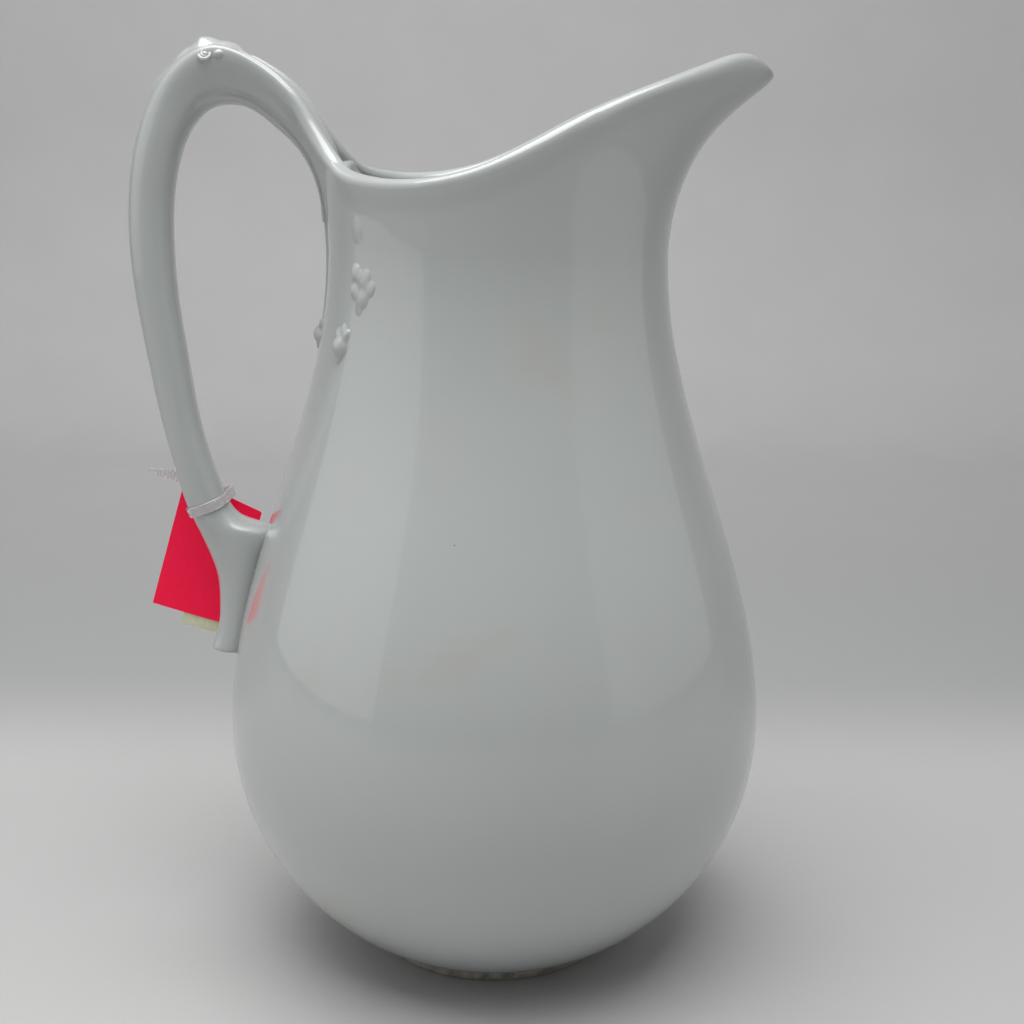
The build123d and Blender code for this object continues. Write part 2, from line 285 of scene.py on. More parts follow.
class Shader:
    """A material's node tree under construction."""

    def __init__(self, name: str) -> None:
        """Starts a material with one surface shader.

        Args:
            name: The material's name.
        """
        self.material = bpy.data.materials.new(name)
        self.material.use_nodes = True
        self.tree = self.material.node_tree
        self.surface = self.tree.nodes["Principled BSDF"]
        self.place = self.add("ShaderNodeTexCoord").outputs["Object"]

    def add(self, kind: str, **inputs: object) -> bpy.types.Node:
        """Adds a node.

        Args:
            kind: The node's type name.
            inputs: Values or sockets for its inputs, by name with underscores for spaces.

        Returns:
            The node.
        """
        node = self.tree.nodes.new(kind)
        for name, value in inputs.items():
            self.feed(node.inputs[name.replace("_", " ")], value)
        return node

    def feed(self, socket: bpy.types.NodeSocket, value: object) -> None:
        """Sets a socket's value, or links another socket to it.

        Args:
            socket: The socket to set.
            value: A plain value, or another socket.
        """
        if isinstance(value, bpy.types.NodeSocket):
            self.tree.links.new(value, socket)
        else:
            socket.default_value = value

    def set(self, **inputs: object) -> None:
        """Feeds the surface shader's inputs, by name with underscores for spaces."""
        for name, value in inputs.items():
            self.feed(self.surface.inputs[name.replace("_", " ")], value)

    def noise(self, scale: float, detail: float = 3.0, roughness: float = 0.5) -> bpy.types.NodeSocket:
        """Cloudy noise over the object's own space.

        Args:
            scale: Features per metre, roughly.
            detail: Octaves of finer noise.
            roughness: How strong the finer octaves are.

        Returns:
            The noise's value socket.
        """
        node = self.add(
            "ShaderNodeTexNoise", Vector=self.place, Scale=scale, Detail=detail, Roughness=roughness
        )
        return node.outputs["Fac"]

    def ramp(self, value: bpy.types.NodeSocket, low: float, high: float) -> bpy.types.NodeSocket:
        """Stretches the range between two values to 0 and 1.

        Args:
            value: The socket to stretch.
            low: The value that gives 0.
            high: The value that gives 1; below low, the ramp falls.

        Returns:
            The stretched value's socket.
        """
        node = self.add("ShaderNodeMapRange", Value=value, From_Min=low, From_Max=high)
        node.interpolation_type = "SMOOTHSTEP"
        return node.outputs["Result"]

    def mix(self, share: object, first: object, second: object) -> bpy.types.NodeSocket:
        """Mixes two colors.

        Args:
            share: How much of the second color shows.
            first: The first color or its socket.
            second: The second color or its socket.

        Returns:
            The mixed color's socket.
        """
        node = self.tree.nodes.new("ShaderNodeMix")
        node.data_type = "RGBA"
        for socket, value in ((node.inputs[0], share), (node.inputs[6], first), (node.inputs[7], second)):
            self.feed(socket, (*value, 1.0) if isinstance(value, tuple) and len(value) == 3 else value)
        return node.outputs[2]

    def sum(self, operation: str, first: object, second: object) -> bpy.types.NodeSocket:
        """A math node on two numbers.

        Args:
            operation: The operation's name.
            first: The first number or its socket.
            second: The second number or its socket.

        Returns:
            The result's socket.
        """
        node = self.tree.nodes.new("ShaderNodeMath")
        node.operation = operation
        self.feed(node.inputs[0], first)
        self.feed(node.inputs[1], second)
        return node.outputs[0]

    def bump(self, height: bpy.types.NodeSocket, distance: float, strength: float = 1.0) -> None:
        """Gives the surface a fine relief.

        Args:
            height: The height's socket.
            distance: The relief's depth in metres.
            strength: How much of it shows.
        """
        under = self.surface.inputs["Normal"].links
        node = self.add("ShaderNodeBump", Height=height, Distance=distance, Strength=strength)
        if under:
            self.feed(node.inputs["Normal"], under[0].from_socket)
        self.set(Normal=node.outputs["Normal"])

    def spot(self, center: Row, radius: float, soft: float = 0.35) -> bpy.types.NodeSocket:
        """A round fleck at a place on the object.

        Args:
            center: The fleck's centre in millimetres.
            radius: Its radius in millimetres.
            soft: The share of the radius over which it fades.

        Returns:
            A socket that is 1 inside the fleck and 0 outside.
        """
        node = self.tree.nodes.new("ShaderNodeVectorMath")
        node.operation = "DISTANCE"
        self.feed(node.inputs[0], self.place)
        self.feed(node.inputs[1], tuple(part * MM for part in center))
        return self.ramp(node.outputs["Value"], radius * MM, radius * MM * (1 - soft))


@dataclass(frozen=True)
class Fleck:
    """A kiln speck in the glaze, in millimetres."""

    center: Row
    radius: float
    color: Color


@dataclass(frozen=True)
class IronstoneGlaze:
    """Cool white glaze over stoneware: glossy, slightly wavy, with pinholes and a few kiln specks."""

    name: str = "ironstone_glaze"
    pale: Color = (0.505, 0.530, 0.525)
    deep: Color = (0.482, 0.508, 0.501)
    warm: Color = (0.505, 0.508, 0.482)
    flecks: tuple[Fleck, ...] = ()

    def material(self) -> bpy.types.Material:
        """Builds the material.

        Returns:
            The material.
        """
        shade = Shader(self.name)
        color = shade.mix(shade.ramp(shade.noise(9.0), 0.36, 0.64), self.pale, self.deep)
        color = shade.mix(shade.ramp(shade.noise(31.0, 4.0), 0.56, 0.78), color, self.warm)
        pores = shade.add("ShaderNodeTexVoronoi", Vector=shade.place, Scale=85.0)
        chance = shade.add("ShaderNodeSeparateColor", Color=pores.outputs["Color"]).outputs["Red"]
        rare = shade.ramp(chance, 0.93, 0.94)
        pore = shade.sum("MULTIPLY", shade.ramp(pores.outputs["Distance"], 0.040, 0.018), rare)
        color = shade.mix(shade.sum("MULTIPLY", pore, 0.55), color, (0.16, 0.15, 0.13))
        for fleck in self.flecks:
            color = shade.mix(shade.spot(fleck.center, fleck.radius), color, fleck.color)
        shade.set(Base_Color=color, Roughness=0.34, IOR=1.5)
        shade.set(Coat_Weight=1.0, Coat_Roughness=0.045, Coat_IOR=1.5)
        shade.bump(shade.noise(26.0, 2.0), 0.0006, 0.35)
        shade.bump(shade.noise(420.0, 2.0), 0.00003, 0.3)
        shade.bump(pore, -0.00008)
        return shade.material


@dataclass(frozen=True)
class BareClay:
    """The unglazed foot: matt grey-cream clay with random dark dirt blotches, and painted shade in a darker band
    where it meets the table.
    """

    name: str = "bare_clay"
    clay: Color = (0.50, 0.48, 0.44)
    dark_clay: Color = (0.26, 0.25, 0.225)

    def material(self) -> bpy.types.Material:
        """Builds the material.

        Returns:
            The material.
        """
        shade = Shader(self.name)
        height = shade.add("ShaderNodeSeparateXYZ", Vector=shade.place).outputs["Z"]
        # Random dark dirt blotches over the clay; the same dark colour also paints the shade band below.
        dark_clay = shade.ramp(shade.noise(160.0, 5.0, 0.65), 0.38, 0.68)
        color = shade.mix(dark_clay, self.clay, self.dark_clay)
        # Painted shade: the dark colour is mixed into the bottom 1.4 mm of the foot, where it stands on the table.
        table_line_shade = shade.sum("MULTIPLY", shade.ramp(height, 1.4 * MM, 0.2 * MM), 0.6)
        color = shade.mix(table_line_shade, color, self.dark_clay)
        shade.set(Base_Color=color, Roughness=shade.ramp(dark_clay, -1.4, 1.1), IOR=1.45)
        shade.bump(shade.noise(900.0, 4.0, 0.6), 0.00012, 0.7)
        return shade.material


@dataclass(frozen=True)
class ClearNylon:
    """Clear moulded nylon, slightly milky."""

    name: str = "clear_nylon"
    tint: Color = (0.97, 0.93, 0.945)

    def material(self) -> bpy.types.Material:
        """Builds the material.

        Returns:
            The material.
        """
        shade = Shader(self.name)
        haze = shade.ramp(shade.noise(700.0, 3.0), 0.3, 0.7)
        color = shade.mix(haze, self.tint, (0.93, 0.90, 0.92))
        shade.set(Base_Color=color, IOR=1.5, Transmission_Weight=0.6)
        shade.set(Roughness=shade.ramp(haze, -0.9, 4.5), Coat_Weight=0.3)
        shade.bump(shade.noise(600.0, 2.0), 0.00003, 0.3)
        return shade.material


@dataclass(frozen=True)
class DyedCardPaintedGlow:
    """Dyed red card with a fine felted face, made to glow a little by emission: painted light."""

    name: str = "red_card_stock_painted_glow"
    bright: Color = (0.92, 0.006, 0.062)
    deep: Color = (0.84, 0.004, 0.050)

    def material(self) -> bpy.types.Material:
        """Builds the material.

        Returns:
            The material.
        """
        shade = Shader(self.name)
        color = shade.mix(shade.ramp(shade.noise(1300.0, 4.0, 0.6), 0.35, 0.65), self.bright, self.deep)
        fibre = shade.add("ShaderNodeMapping", Vector=shade.place, Scale=(1.0, 1.0, 5.0)).outputs["Vector"]
        streak = shade.add("ShaderNodeTexNoise", Vector=fibre, Scale=900.0, Detail=3.0).outputs["Fac"]
        color = shade.mix(shade.ramp(streak, 0.66, 0.80), color, (0.95, 0.03, 0.11))
        shade.set(Base_Color=color, Roughness=0.62, Specular_IOR_Level=0.3)
        # Painted light: the card's own colour also goes to emission, so it glows as if lit.
        shade.set(Emission_Color=color, Emission_Strength=0.22)
        shade.bump(streak, 0.00004, 0.6)
        return shade.material


@dataclass(frozen=True)
class SlipPaper:
    """Thin pale yellow-green note paper."""

    name: str = "pale_slip_paper"
    light: Color = (0.80, 0.83, 0.60)
    dark: Color = (0.72, 0.75, 0.53)

    def material(self) -> bpy.types.Material:
        """Builds the material.

        Returns:
            The material.
        """
        shade = Shader(self.name)
        cloud = shade.ramp(shade.noise(500.0, 4.0, 0.6), 0.35, 0.65)
        shade.set(Base_Color=shade.mix(cloud, self.light, self.dark), Roughness=0.75, Specular_IOR_Level=0.25)
        shade.bump(shade.noise(1900.0, 3.0), 0.00003, 0.6)
        return shade.material


@dataclass(frozen=True)
class StudioPaper:
    """Plain pale floor paper whose tone is set by depth: painted shade darkens it behind the jug and painted light
    brightens the far wall.
    """

    name: str = "studio_paper"
    near: Color = (0.54, 0.54, 0.535)
    far: Color = (0.40, 0.403, 0.403)
    wall: Color = (0.67, 0.665, 0.665)
    mottling: float = 0.08
    near_edge: float = 130.0
    far_edge: float = 280.0
    wall_edge: float = 1100.0

    def material(self) -> bpy.types.Material:
        """Builds the material.

        Returns:
            The material.
        """
        shade = Shader(self.name)
        depth = shade.add("ShaderNodeSeparateXYZ", Vector=shade.place).outputs["Y"]
        # Painted shade: the paper darkens from the near tone to the far tone between 130 and 280 mm back.
        color = shade.mix(shade.ramp(depth, self.near_edge * MM, self.far_edge * MM), self.near, self.far)
        # Painted light: from there back to the wall the paper lightens to the wall tone.
        color = shade.mix(shade.ramp(depth, self.far_edge * MM, self.wall_edge * MM), color, self.wall)
        mottle = shade.ramp(shade.noise(14.0, 3.0), 0.2, 0.8)
        color = shade.mix(shade.sum("MULTIPLY", mottle, self.mottling), color, self.far)
        shade.set(Base_Color=color, Roughness=0.6, Specular_IOR_Level=0.25)
        shade.bump(shade.noise(55.0, 5.0, 0.6), 0.0009, 0.25)
        return shade.material


# ----------------------------------------------------------------------------------------------------
# The thrown and moulded vessel
# ----------------------------------------------------------------------------------------------------


@dataclass
class JugBody:
    """The hollow vessel: bowl, shoulder, neck and the rolled lip that runs out to the spout."""

    glaze: bpy.types.Material
    belly_radius: float = 93.9
    belly_height: float = 84.0
    bowl_depth: float = 91.0
    neck_radius: float = 57.0
    neck_height: float = 250.0
    wall: float = 5.0
    base_thickness: float = 7.0
    foot_height: float = 5.0
    spout_reach: float = 33.3
    lip_flare: float = 5.0
    lip_flare_rise: float = 40.0
    spout_point: float = 0.66
    spout_point_rise: float = 62.0
    bead_height: float = 2.7
    bead_side_height: float = 4.6
    bead_tip_height: float = 1.9
    bead_roll: float = 1.1
    bead_fade: float = 9.0
    rim_sink: float = 6.5
    spokes: int = 256
    spout_line: tuple[Row, ...] = (
        (0.0, 0.01),
        (10.0, 0.04),
        (20.0, 0.117),
        (30.0, 0.25),
        (40.0, 0.465),
        (48.0, 0.72),
        (54.0, 0.905),
        (60.0, 1.03),
        (66.0, 1.14),
    )
    rim_line: tuple[Row, ...] = (
        (-0.10, 42.0),
        (-0.02, 35.0),
        (0.027, 28.0),
        (0.081, 24.8),
        (0.183, 23.7),
        (0.346, 28.0),
        (0.468, 36.0),
        (0.597, 45.7),
        (0.760, 56.0),
        (0.880, 62.2),
        (0.957, 63.0),
        (1.0, 58.2),
        (1.06, 48.0),
    )

    def __post_init__(self) -> None:
        """Prepares the curves of the spout and the rim."""
        self.spout = Spline(*zip(*self.spout_line))
        self.rim = Spline(*zip(*self.rim_line))
        self.mouth_length = 2 * self.neck_radius + self.spout_reach

    def radius(self, height: float, inset: float = 0.0) -> float:
        """The wall's radius at a height, drawn in by an inset.

        Args:
            height: The height above the table.
            inset: How far inside the outer face.

        Returns:
            The radius.
        """
        if height <= self.belly_height:
            drop = min(1.0, (self.belly_height - height) / (self.bowl_depth - inset))
            return (self.belly_radius - inset) * math.sqrt(1 - drop * drop)
        share = min(1.0, (height - self.belly_height) / (self.neck_height - self.belly_height))
        drawn = (self.neck_radius - self.belly_radius) * share * share * (3 - 2 * share)
        return self.belly_radius + drawn - inset

    def point(self, angle: float, height: float, inset: float = 0.0) -> np.ndarray:
        """A point on the wall.

        Args:
            angle: The turn about the axis in radians, from the spout.
            height: The height above the table.
            inset: How far inside the outer wall it is.

        Returns:
            The point.
        """
        radius = self.radius(height, inset)
        rise = max(0.0, height - self.neck_height)
        flare = self.lip_flare * min(1.0, rise / self.lip_flare_rise) ** 1.5
        along = math.cos(angle)
        if along > 0:
            share = self.spout.value(rise) if rise > 0 else 0.01 * smooth_step(-30.0, 0.0, height - self.neck_height)
            reach = radius + self.spout_reach * share
        else:
            reach = radius + 0.6 * flare
        narrow = self.spout_point * min(1.0, rise / self.spout_point_rise) ** 1.7 * max(0.0, along) ** 1.5
        return np.array((reach * along, (radius + flare) * math.sin(angle) * (1 - narrow), height))

    def normal(self, angle: float, height: float) -> np.ndarray:
        """The outward direction of the wall at an angle and a height.

        Args:
            angle: The turn round the axis, in radians.
            height: The height above the table.

        Returns:
            The unit direction.
        """
        around = self.point(angle + 0.01, height) - self.point(angle - 0.01, height)
        up = self.point(angle, height + 0.5) - self.point(angle, height - 0.5)
        across = np.cross(around, up)
        return across / np.linalg.norm(across)

    def rim_rise(self, angle: float) -> float:
        """How far the rim stands above the neck at an angle.

        Args:
            angle: The turn round the axis, in radians.

        Returns:
            The rise.
        """
        low, high = 8.0, 66.0
        for _ in range(40):
            rise = (low + high) / 2
            share = (self.point(angle, self.neck_height + rise)[0] + self.neck_radius) / self.mouth_length
            if rise < self.rim.value(share):
                low = rise
            else:
                high = rise
        return low

    def bead(self, angle: float) -> float:
        """The height of the rolled rim at an angle: fullest beside the spout, slim at its tip.

        Args:
            angle: The turn round the axis, in radians.

        Returns:
            The bead's height.
        """
        turned = abs((angle + math.pi) % (2 * math.pi) - math.pi)
        side = smooth_step(0.15, 0.9, turned) * (1 - smooth_step(1.1, 2.0, turned))
        fuller = self.bead_height - self.bead_tip_height
        even = self.bead_tip_height + fuller * smooth_step(0.1, 0.8, turned)
        return even + (self.bead_side_height - even) * side

    def column(self, angle: float) -> list[np.ndarray]:
        """The wall's section at an angle, from the middle of the underside over the rim to the middle of the floor.

        Args:
            angle: The turn about the axis in radians, from the spout.

        Returns:
            The section's points.
        """
        line: list[np.ndarray] = []
        for radius, height in ((0.5, 6.4), (18.0, 6.2), (30.0, 5.4), (40.0, 5.0)):
            line.append(np.array((radius * math.cos(angle), radius * math.sin(angle), height)))
        turn = math.asin((self.belly_height - self.foot_height) / self.bowl_depth)
        for step in range(20):
            height = self.belly_height - self.bowl_depth * math.sin(turn * (20 - step) / 20)
            line.append(self.point(angle, height))
        for step in range(34):
            line.append(self.point(angle, self.belly_height + (234.0 - self.belly_height) * step / 34))
        turned = (angle + math.pi) % (2 * math.pi) - math.pi
        from_back = math.pi - abs(turned)
        sunk = self.rim_sink * (1 - smooth_step(0.20, 0.40, from_back))
        top = self.neck_height + self.rim_rise(angle) - sunk
        bead = self.bead(angle)
        under = top - bead
        roll = self.bead_roll * smooth_step(0.2, 0.6, from_back)
        for step in range(30):
            share = 1 - (1 - step / 29) ** 1.3
            height = 234.0 + (under - 234.0) * share
            bulge = roll * (1 - smooth_step(0.0, self.bead_fade, under - height))
            line.append(self.point(angle, height) + self.normal(angle, height) * bulge)
        outer = line[-1]
        inner = self.point(angle, under, self.wall) - self.normal(angle, under) * 0.2 * roll
        center = (outer + inner) / 2
        up = self.point(angle, under) - self.point(angle, under - 1.0)
        up /= np.linalg.norm(up)
        half = (outer - inner) / 2
        for step in range(1, 12):
            tilt = math.pi * step / 12
            line.append(center + half * math.cos(tilt) + up * bead * math.sin(tilt) ** 0.9)
        line.append(inner)
        for step in range(1, 22):
            share = (step / 21) ** 1.2
            line.append(self.point(angle, under + (228.0 - under) * share, self.wall))
        floor = self.foot_height + self.base_thickness
        for step in range(1, 26):
            line.append(self.point(angle, 228.0 + (self.belly_height - 228.0) * step / 25, self.wall))
        depth = self.bowl_depth - self.wall
        turn = math.asin((self.belly_height - floor - 1.5) / depth)
        for step in range(1, 17):
            line.append(self.point(angle, self.belly_height - depth * math.sin(turn * step / 16), self.wall))
        for radius, height in ((44.0, floor + 0.4), (30.0, floor), (12.0, floor), (0.5, floor)):
            line.append(np.array((radius * math.cos(angle), radius * math.sin(angle), height)))
        return line

    def build(self) -> bpy.types.Object:
        """Builds the vessel and hangs it on the jug's body.

        Returns:
            The object made.
        """
        columns = [self.column(2 * math.pi * spoke / self.spokes) for spoke in range(self.spokes)]
        form = Form()
        form.add_rings([[column[ring] for column in columns] for ring in range(len(columns[0]))])
        return settle(form.link("jug_wall", self.glaze, 60.0), Body.JUG, Slot.GLAZE, "jug_body")


@dataclass
class FootRing:
    """The plain foot band under the bowl, with softened edges."""

    clay: bpy.types.Material
    radius: float = 43.0
    height: float = 5.0
    width: float = 7.0
    flare: float = 1.5
    edge: float = 0.7
    spokes: int = 128

    def section(self, wobble: float) -> list[Row]:
        """The band's section, as radius and height.

        Args:
            wobble: A small uneven offset of the outer side.

        Returns:
            The section's points, round from the outer side at the table.
        """
        outer, inner = self.radius + wobble, self.radius - self.width
        line = []
        for center, start in (
            ((outer - self.edge, self.edge), -90.0),
            ((outer + self.flare - 0.2, self.height - 0.2), 0.0),
            ((inner - self.flare + 0.2, self.height - 0.2), 90.0),
            ((inner + self.edge, self.edge), 180.0),
        ):
            size = self.edge if center[1] == self.edge else 0.2
            for step in range(5):
                turn = math.radians(start + 22.5 * step)
                line.append((center[0] + size * math.cos(turn), center[1] + size * math.sin(turn)))
        return line

    def build(self) -> bpy.types.Object:
        """Builds the foot ring and hangs it on the jug's body.

        Returns:
            The object made.
        """
        rings = []
        for spoke in range(self.spokes + 1):
            turn = 2 * math.pi * spoke / self.spokes
            around = Vector((math.cos(turn), math.sin(turn), 0)) * 1.6
            wobble = 0.25 * noise.noise(around) + 0.12 * noise.noise(around * 4)
            rings.append(
                [(reach * math.cos(turn), reach * math.sin(turn), height) for reach, height in self.section(wobble)]
            )
        form = Form()
        form.add_rings(rings[:-1], close=False)
        spokes, last = len(rings[0]), (self.spokes - 1) * len(rings[0])
        for at in range(spokes):
            beside = (at + 1) % spokes
            form.faces.append((last + at, last + beside, beside, at))
        return settle(form.link("foot_band", self.clay), Body.JUG, Slot.FOOT, "foot_ring")


# ----------------------------------------------------------------------------------------------------
# The handle
# ----------------------------------------------------------------------------------------------------


@dataclass
class Handle:
    """The looped strap: a troughed band with raised edges from the rim to the crest, then a plain rounded limb that
    forks against the bowl."""

    glaze: bpy.types.Material
    jug: JugBody
    steps: int = 260
    bead_steps: int = 110
    bead_spokes: int = 20
    # Along the rim: turn from the back in radians, and the bead's radius
    rim_line: Sequence[Row] = ((1.15, 2.0), (0.92, 2.45), (0.72, 2.75), (0.54, 2.9), (0.42, 2.9))
    # Up the strap's edge: section, shares of its half depth and half width, and the bead's radius
    edge_line: Sequence[Row] = (
        (2.45, -0.62, 0.86, 2.7),
        (3.0, -0.74, 0.84, 2.3),
        (3.5, -0.80, 0.83, 1.9),
        (4.0, -0.82, 0.82, 1.6),
        (4.5, -0.80, 0.84, 1.3),
        (4.9, -0.76, 0.86, 1.0),
    )
    spokes: int = 56
    sections: tuple[Row, ...] = (
        (-6.2, 10.0, 2.0, 8.0, 30.0),
        (-4.6, 21.5, 3.2, 18.5, 37.0),
        (-1.4, 32.0, 7.4, 28.6, 35.0),
        (9.5, 50.2, 16.9, 38.5, 29.0),
        (24.0, 61.3, 27.4, 45.2, 25.5),
        (37.8, 65.0, 36.6, 45.0, 24.5),
        (50.0, 58.8, 41.4, 42.1, 22.5),
        (62.9, 36.2, 47.9, 32.2, 20.0),
        (66.7, 16.0, 51.8, 16.3, 18.5),
        (67.1, -2.7, 52.6, -2.7, 18.0),
        (64.0, -20.3, 50.1, -20.3, 17.5),
        (56.1, -42.5, 43.3, -41.0, 17.0),
        (46.7, -62.5, 35.3, -59.5, 16.6),
        (36.0, -81.1, 25.4, -76.5, 17.0),
        (30.5, -90.1, 19.6, -85.1, 17.0),
        (27.1, -94.7, 16.2, -89.7, 17.0),
        (25.0, -97.5, 10.7, -94.2, 17.0),
        (21.3, -102.5, -1.0, -98.5, 17.0),
        (17.0, -108.5, -2.5, -107.0, 16.0),
        (12.9, -115.5, -2.5, -116.0, 15.0),
        (9.6, -126.5, -3.0, -128.0, 14.0),
        (8.8, -136.5, -3.2, -139.0, 13.5),
        (10.0, -141.6, -2.6, -143.0, 13.5),
    )
    strap_form: tuple[Row, ...] = (
        (-0.86, 0.0),
        (-0.88, 0.32),
        (-0.955, 0.62),
        (-1.0, 0.80),
        (-0.94, 0.95),
        (-0.76, 1.0),
        (-0.48, 0.97),
        (-0.18, 0.84),
        (0.12, 0.70),
        (0.40, 0.59),
        (0.56, 0.47),
        (0.72, 0.47),
        (0.92, 0.36),
        (1.0, 0.0),
    )

    def __post_init__(self) -> None:
        """Prepares the strap's path through its sections."""
        rows = []
        for out_off, out_rise, in_off, in_rise, width in self.sections:
            outer, inner = self.beside_wall(out_off, out_rise), self.beside_wall(in_off, in_rise)
            rows.append((outer[0], outer[2], inner[0], inner[2], width))
        keys = [0.0]
        for before, after in zip(rows, rows[1:]):
            middle = [(after[at] + after[at + 2] - before[at] - before[at + 2]) / 2 for at in (0, 1)]
            keys.append(keys[-1] + math.hypot(*middle))
        self.keys = keys
        self.path = Spline(keys, rows)
        self.length = keys[-1]

    def beside_wall(self, stand_off: float, rise: float) -> np.ndarray:
        """A point behind the vessel, by its distance from the wall and its height above the neck."""
        height = self.jug.neck_height + rise
        return np.array((-self.jug.radius(height) - stand_off, 0.0, height))

    def frame(self, along: float) -> tuple[np.ndarray, np.ndarray, float, float]:
        """The strap's section at a distance along it.

        Args:
            along: The distance from its start inside the rim.

        Returns:
            The section's middle, the direction from its outer to its inner side, half its depth and half its width.
        """
        out_x, out_z, in_x, in_z, width = self.path.at(along)
        across = np.array((in_x - out_x, 0.0, in_z - out_z))
        depth = float(np.linalg.norm(across))
        return np.array(((out_x + in_x) / 2, 0.0, (out_z + in_z) / 2)), across / depth, depth / 2, width / 2

    def shape(self, along: float) -> list[Row]:
        """The section's outline as shares of its half depth and half width.

        Args:
            along: The distance from the strap's start.

        Returns:
            The outline's points, round from the middle of the outer side.
        """
        strap = 1 - smooth_step(self.keys[4], self.keys[7], along)
        hollow = 1 - smooth_step(self.keys[2], self.keys[5], along)
        count = len(self.strap_form) - 1
        half = []
        for at, (deep, wide) in enumerate(self.strap_form):
            turn = math.pi * at / count
            plain = (-math.cos(turn), max(0.0, math.sin(turn)) ** 0.82)
            crown = -1.0 + 0.10 * (wide / 1.0) ** 2 if at < 4 else deep
            formed = deep * hollow + crown * (1 - hollow)
            half.append((strap * formed + (1 - strap) * plain[0], strap * wide + (1 - strap) * plain[1]))
        line = half + [(deep, -wide) for deep, wide in reversed(half[1:-1])]
        closed = Spline(range(-2, len(line) + 3), [line[at % len(line)] for at in range(-2, len(line) + 3)])
        return [tuple(closed.at(len(line) * spoke / self.spokes)) for spoke in range(self.spokes)]

    def surface(self, along: float, turn: float) -> np.ndarray:
        """A point on the plain oval of the strap, for ornaments to sit on.

        Args:
            along: The distance from the strap's start.
            turn: The turn round the section in radians, 0 at the middle of the outer side, towards +Y.

        Returns:
            The point.
        """
        middle, across, depth, width = self.frame(along)
        return middle - across * depth * math.cos(turn) + np.array((0.0, width * math.sin(turn), 0.0))

    def ring(self, along: float, scale: float = 1.0) -> list[np.ndarray]:
        """The points of one section, drawn in to a share of its size.

        Args:
            along: The distance along the handle's line.
            scale: The share of the section's size.

        Returns:
            The points of the ring.
        """
        middle, across, depth, width = self.frame(along)
        side = np.array((0.0, 1.0, 0.0))
        return [
            middle + across * depth * deep * scale + side * width * wide * scale for deep, wide in self.shape(along)
        ]

    def edge_bead(self, side: int) -> list[list[np.ndarray]]:
        """The bead that leaves the rolled rim and runs up one edge of the strap to the crest.

        Args:
            side: 1 for the +Y side and -1 for the other.

        Returns:
            The bead's rings of points.
        """
        rows: list[Row] = []
        for from_back, size in self.rim_line:
            angle = math.pi - side * from_back
            height = self.jug.neck_height + self.jug.rim_rise(angle) - size
            center = (self.jug.point(angle, height) + self.jug.point(angle, height, self.jug.wall)) / 2
            rows.append((*center, size))
        for section, deep, wide, size in self.edge_line:
            whole = int(section)
            along = self.keys[whole] + (section - whole) * (self.keys[whole + 1] - self.keys[whole])
            middle, across, depth, width = self.frame(along)
            center = middle + across * depth * deep + np.array((0.0, side * width * wide, 0.0))
            rows.append((*center, size))
        keys = [0.0]
        for before, after in zip(rows, rows[1:]):
            keys.append(keys[-1] + math.dist(before[:3], after[:3]))
        path = Spline(keys, rows)
        rings, steps = [], self.bead_steps
        for step in range(steps + 1):
            key = keys[-1] * step / steps
            here, ahead = path.at(key), path.at(min(keys[-1], key + 0.2)) - path.at(max(0.0, key - 0.2))
            forward = ahead[:3] / np.linalg.norm(ahead[:3])
            first = np.cross(forward, np.array((0.0, 0.0, 1.0)))
            first /= np.linalg.norm(first)
            second = np.cross(forward, first)
            size = here[3] * min(1.0, 0.35 + 4 * step / steps, 0.35 + 6 * (1 - step / steps))
            rings.append(
                [
                    here[:3] + (first * math.cos(turn) + second * math.sin(turn)) * size
                    for turn in (2 * math.pi * at / self.bead_spokes for at in range(self.bead_spokes))
                ]
            )
        return rings

    def build(self) -> bpy.types.Object:
        """Builds the handle and hangs it on the jug's body.

        Returns:
            The object made.
        """
        rings = [self.ring(self.length * step / self.steps) for step in range(self.steps + 1)]
        _, across, _, _ = self.frame(self.length)
        ahead = np.cross(across, np.array((0.0, 1.0, 0.0)))
        for scale, out in ((0.97, 0.35), (0.90, 0.65), (0.78, 0.8)):
            rings.append([point - ahead * out for point in self.ring(self.length, scale)])
        form = Form()
        form.add_rings(rings)
        for side in (-1, 1):
            form.add_rings(self.edge_bead(side))
        return settle(form.link("handle_strap", self.glaze, 50.0), Body.JUG, Slot.GLAZE, "handle")


# ----------------------------------------------------------------------------------------------------
# Moulded ornaments
# ----------------------------------------------------------------------------------------------------


@dataclass(frozen=True)
class Lobe:
    """A rounded lobe of an ornament on the wall, in millimetres along and across the wall."""

    across: float
    up: float
    length: float
    width: float
    lean: float
    relief: float
    taper: float = 0.35
    vein: float = 0.0

    def height(self, across: float, up: float) -> float:
        """The lobe's relief at a spot, below 0 outside it.

        Args:
            across: The spot's place across the relief.
            up: The spot's place up the relief.

        Returns:
            The relief.
        """
        turn = math.radians(self.lean)
        x, y = across - self.across, up - self.up
        along = (x * math.sin(turn) + y * math.cos(turn)) / self.length
        side = (x * math.cos(turn) - y * math.sin(turn)) / self.width
        side /= max(0.25, 1 - self.taper * along)
        reach = along * along + side * side
        if reach >= 1:
            return -0.35 * min(4.0, reach - 1)
        dome = 0.55 * math.sqrt(1 - reach) + 0.45 * (1 - reach)
        return self.relief * dome - self.vein * math.exp(-((side / 0.16) ** 2)) * (1 - reach)


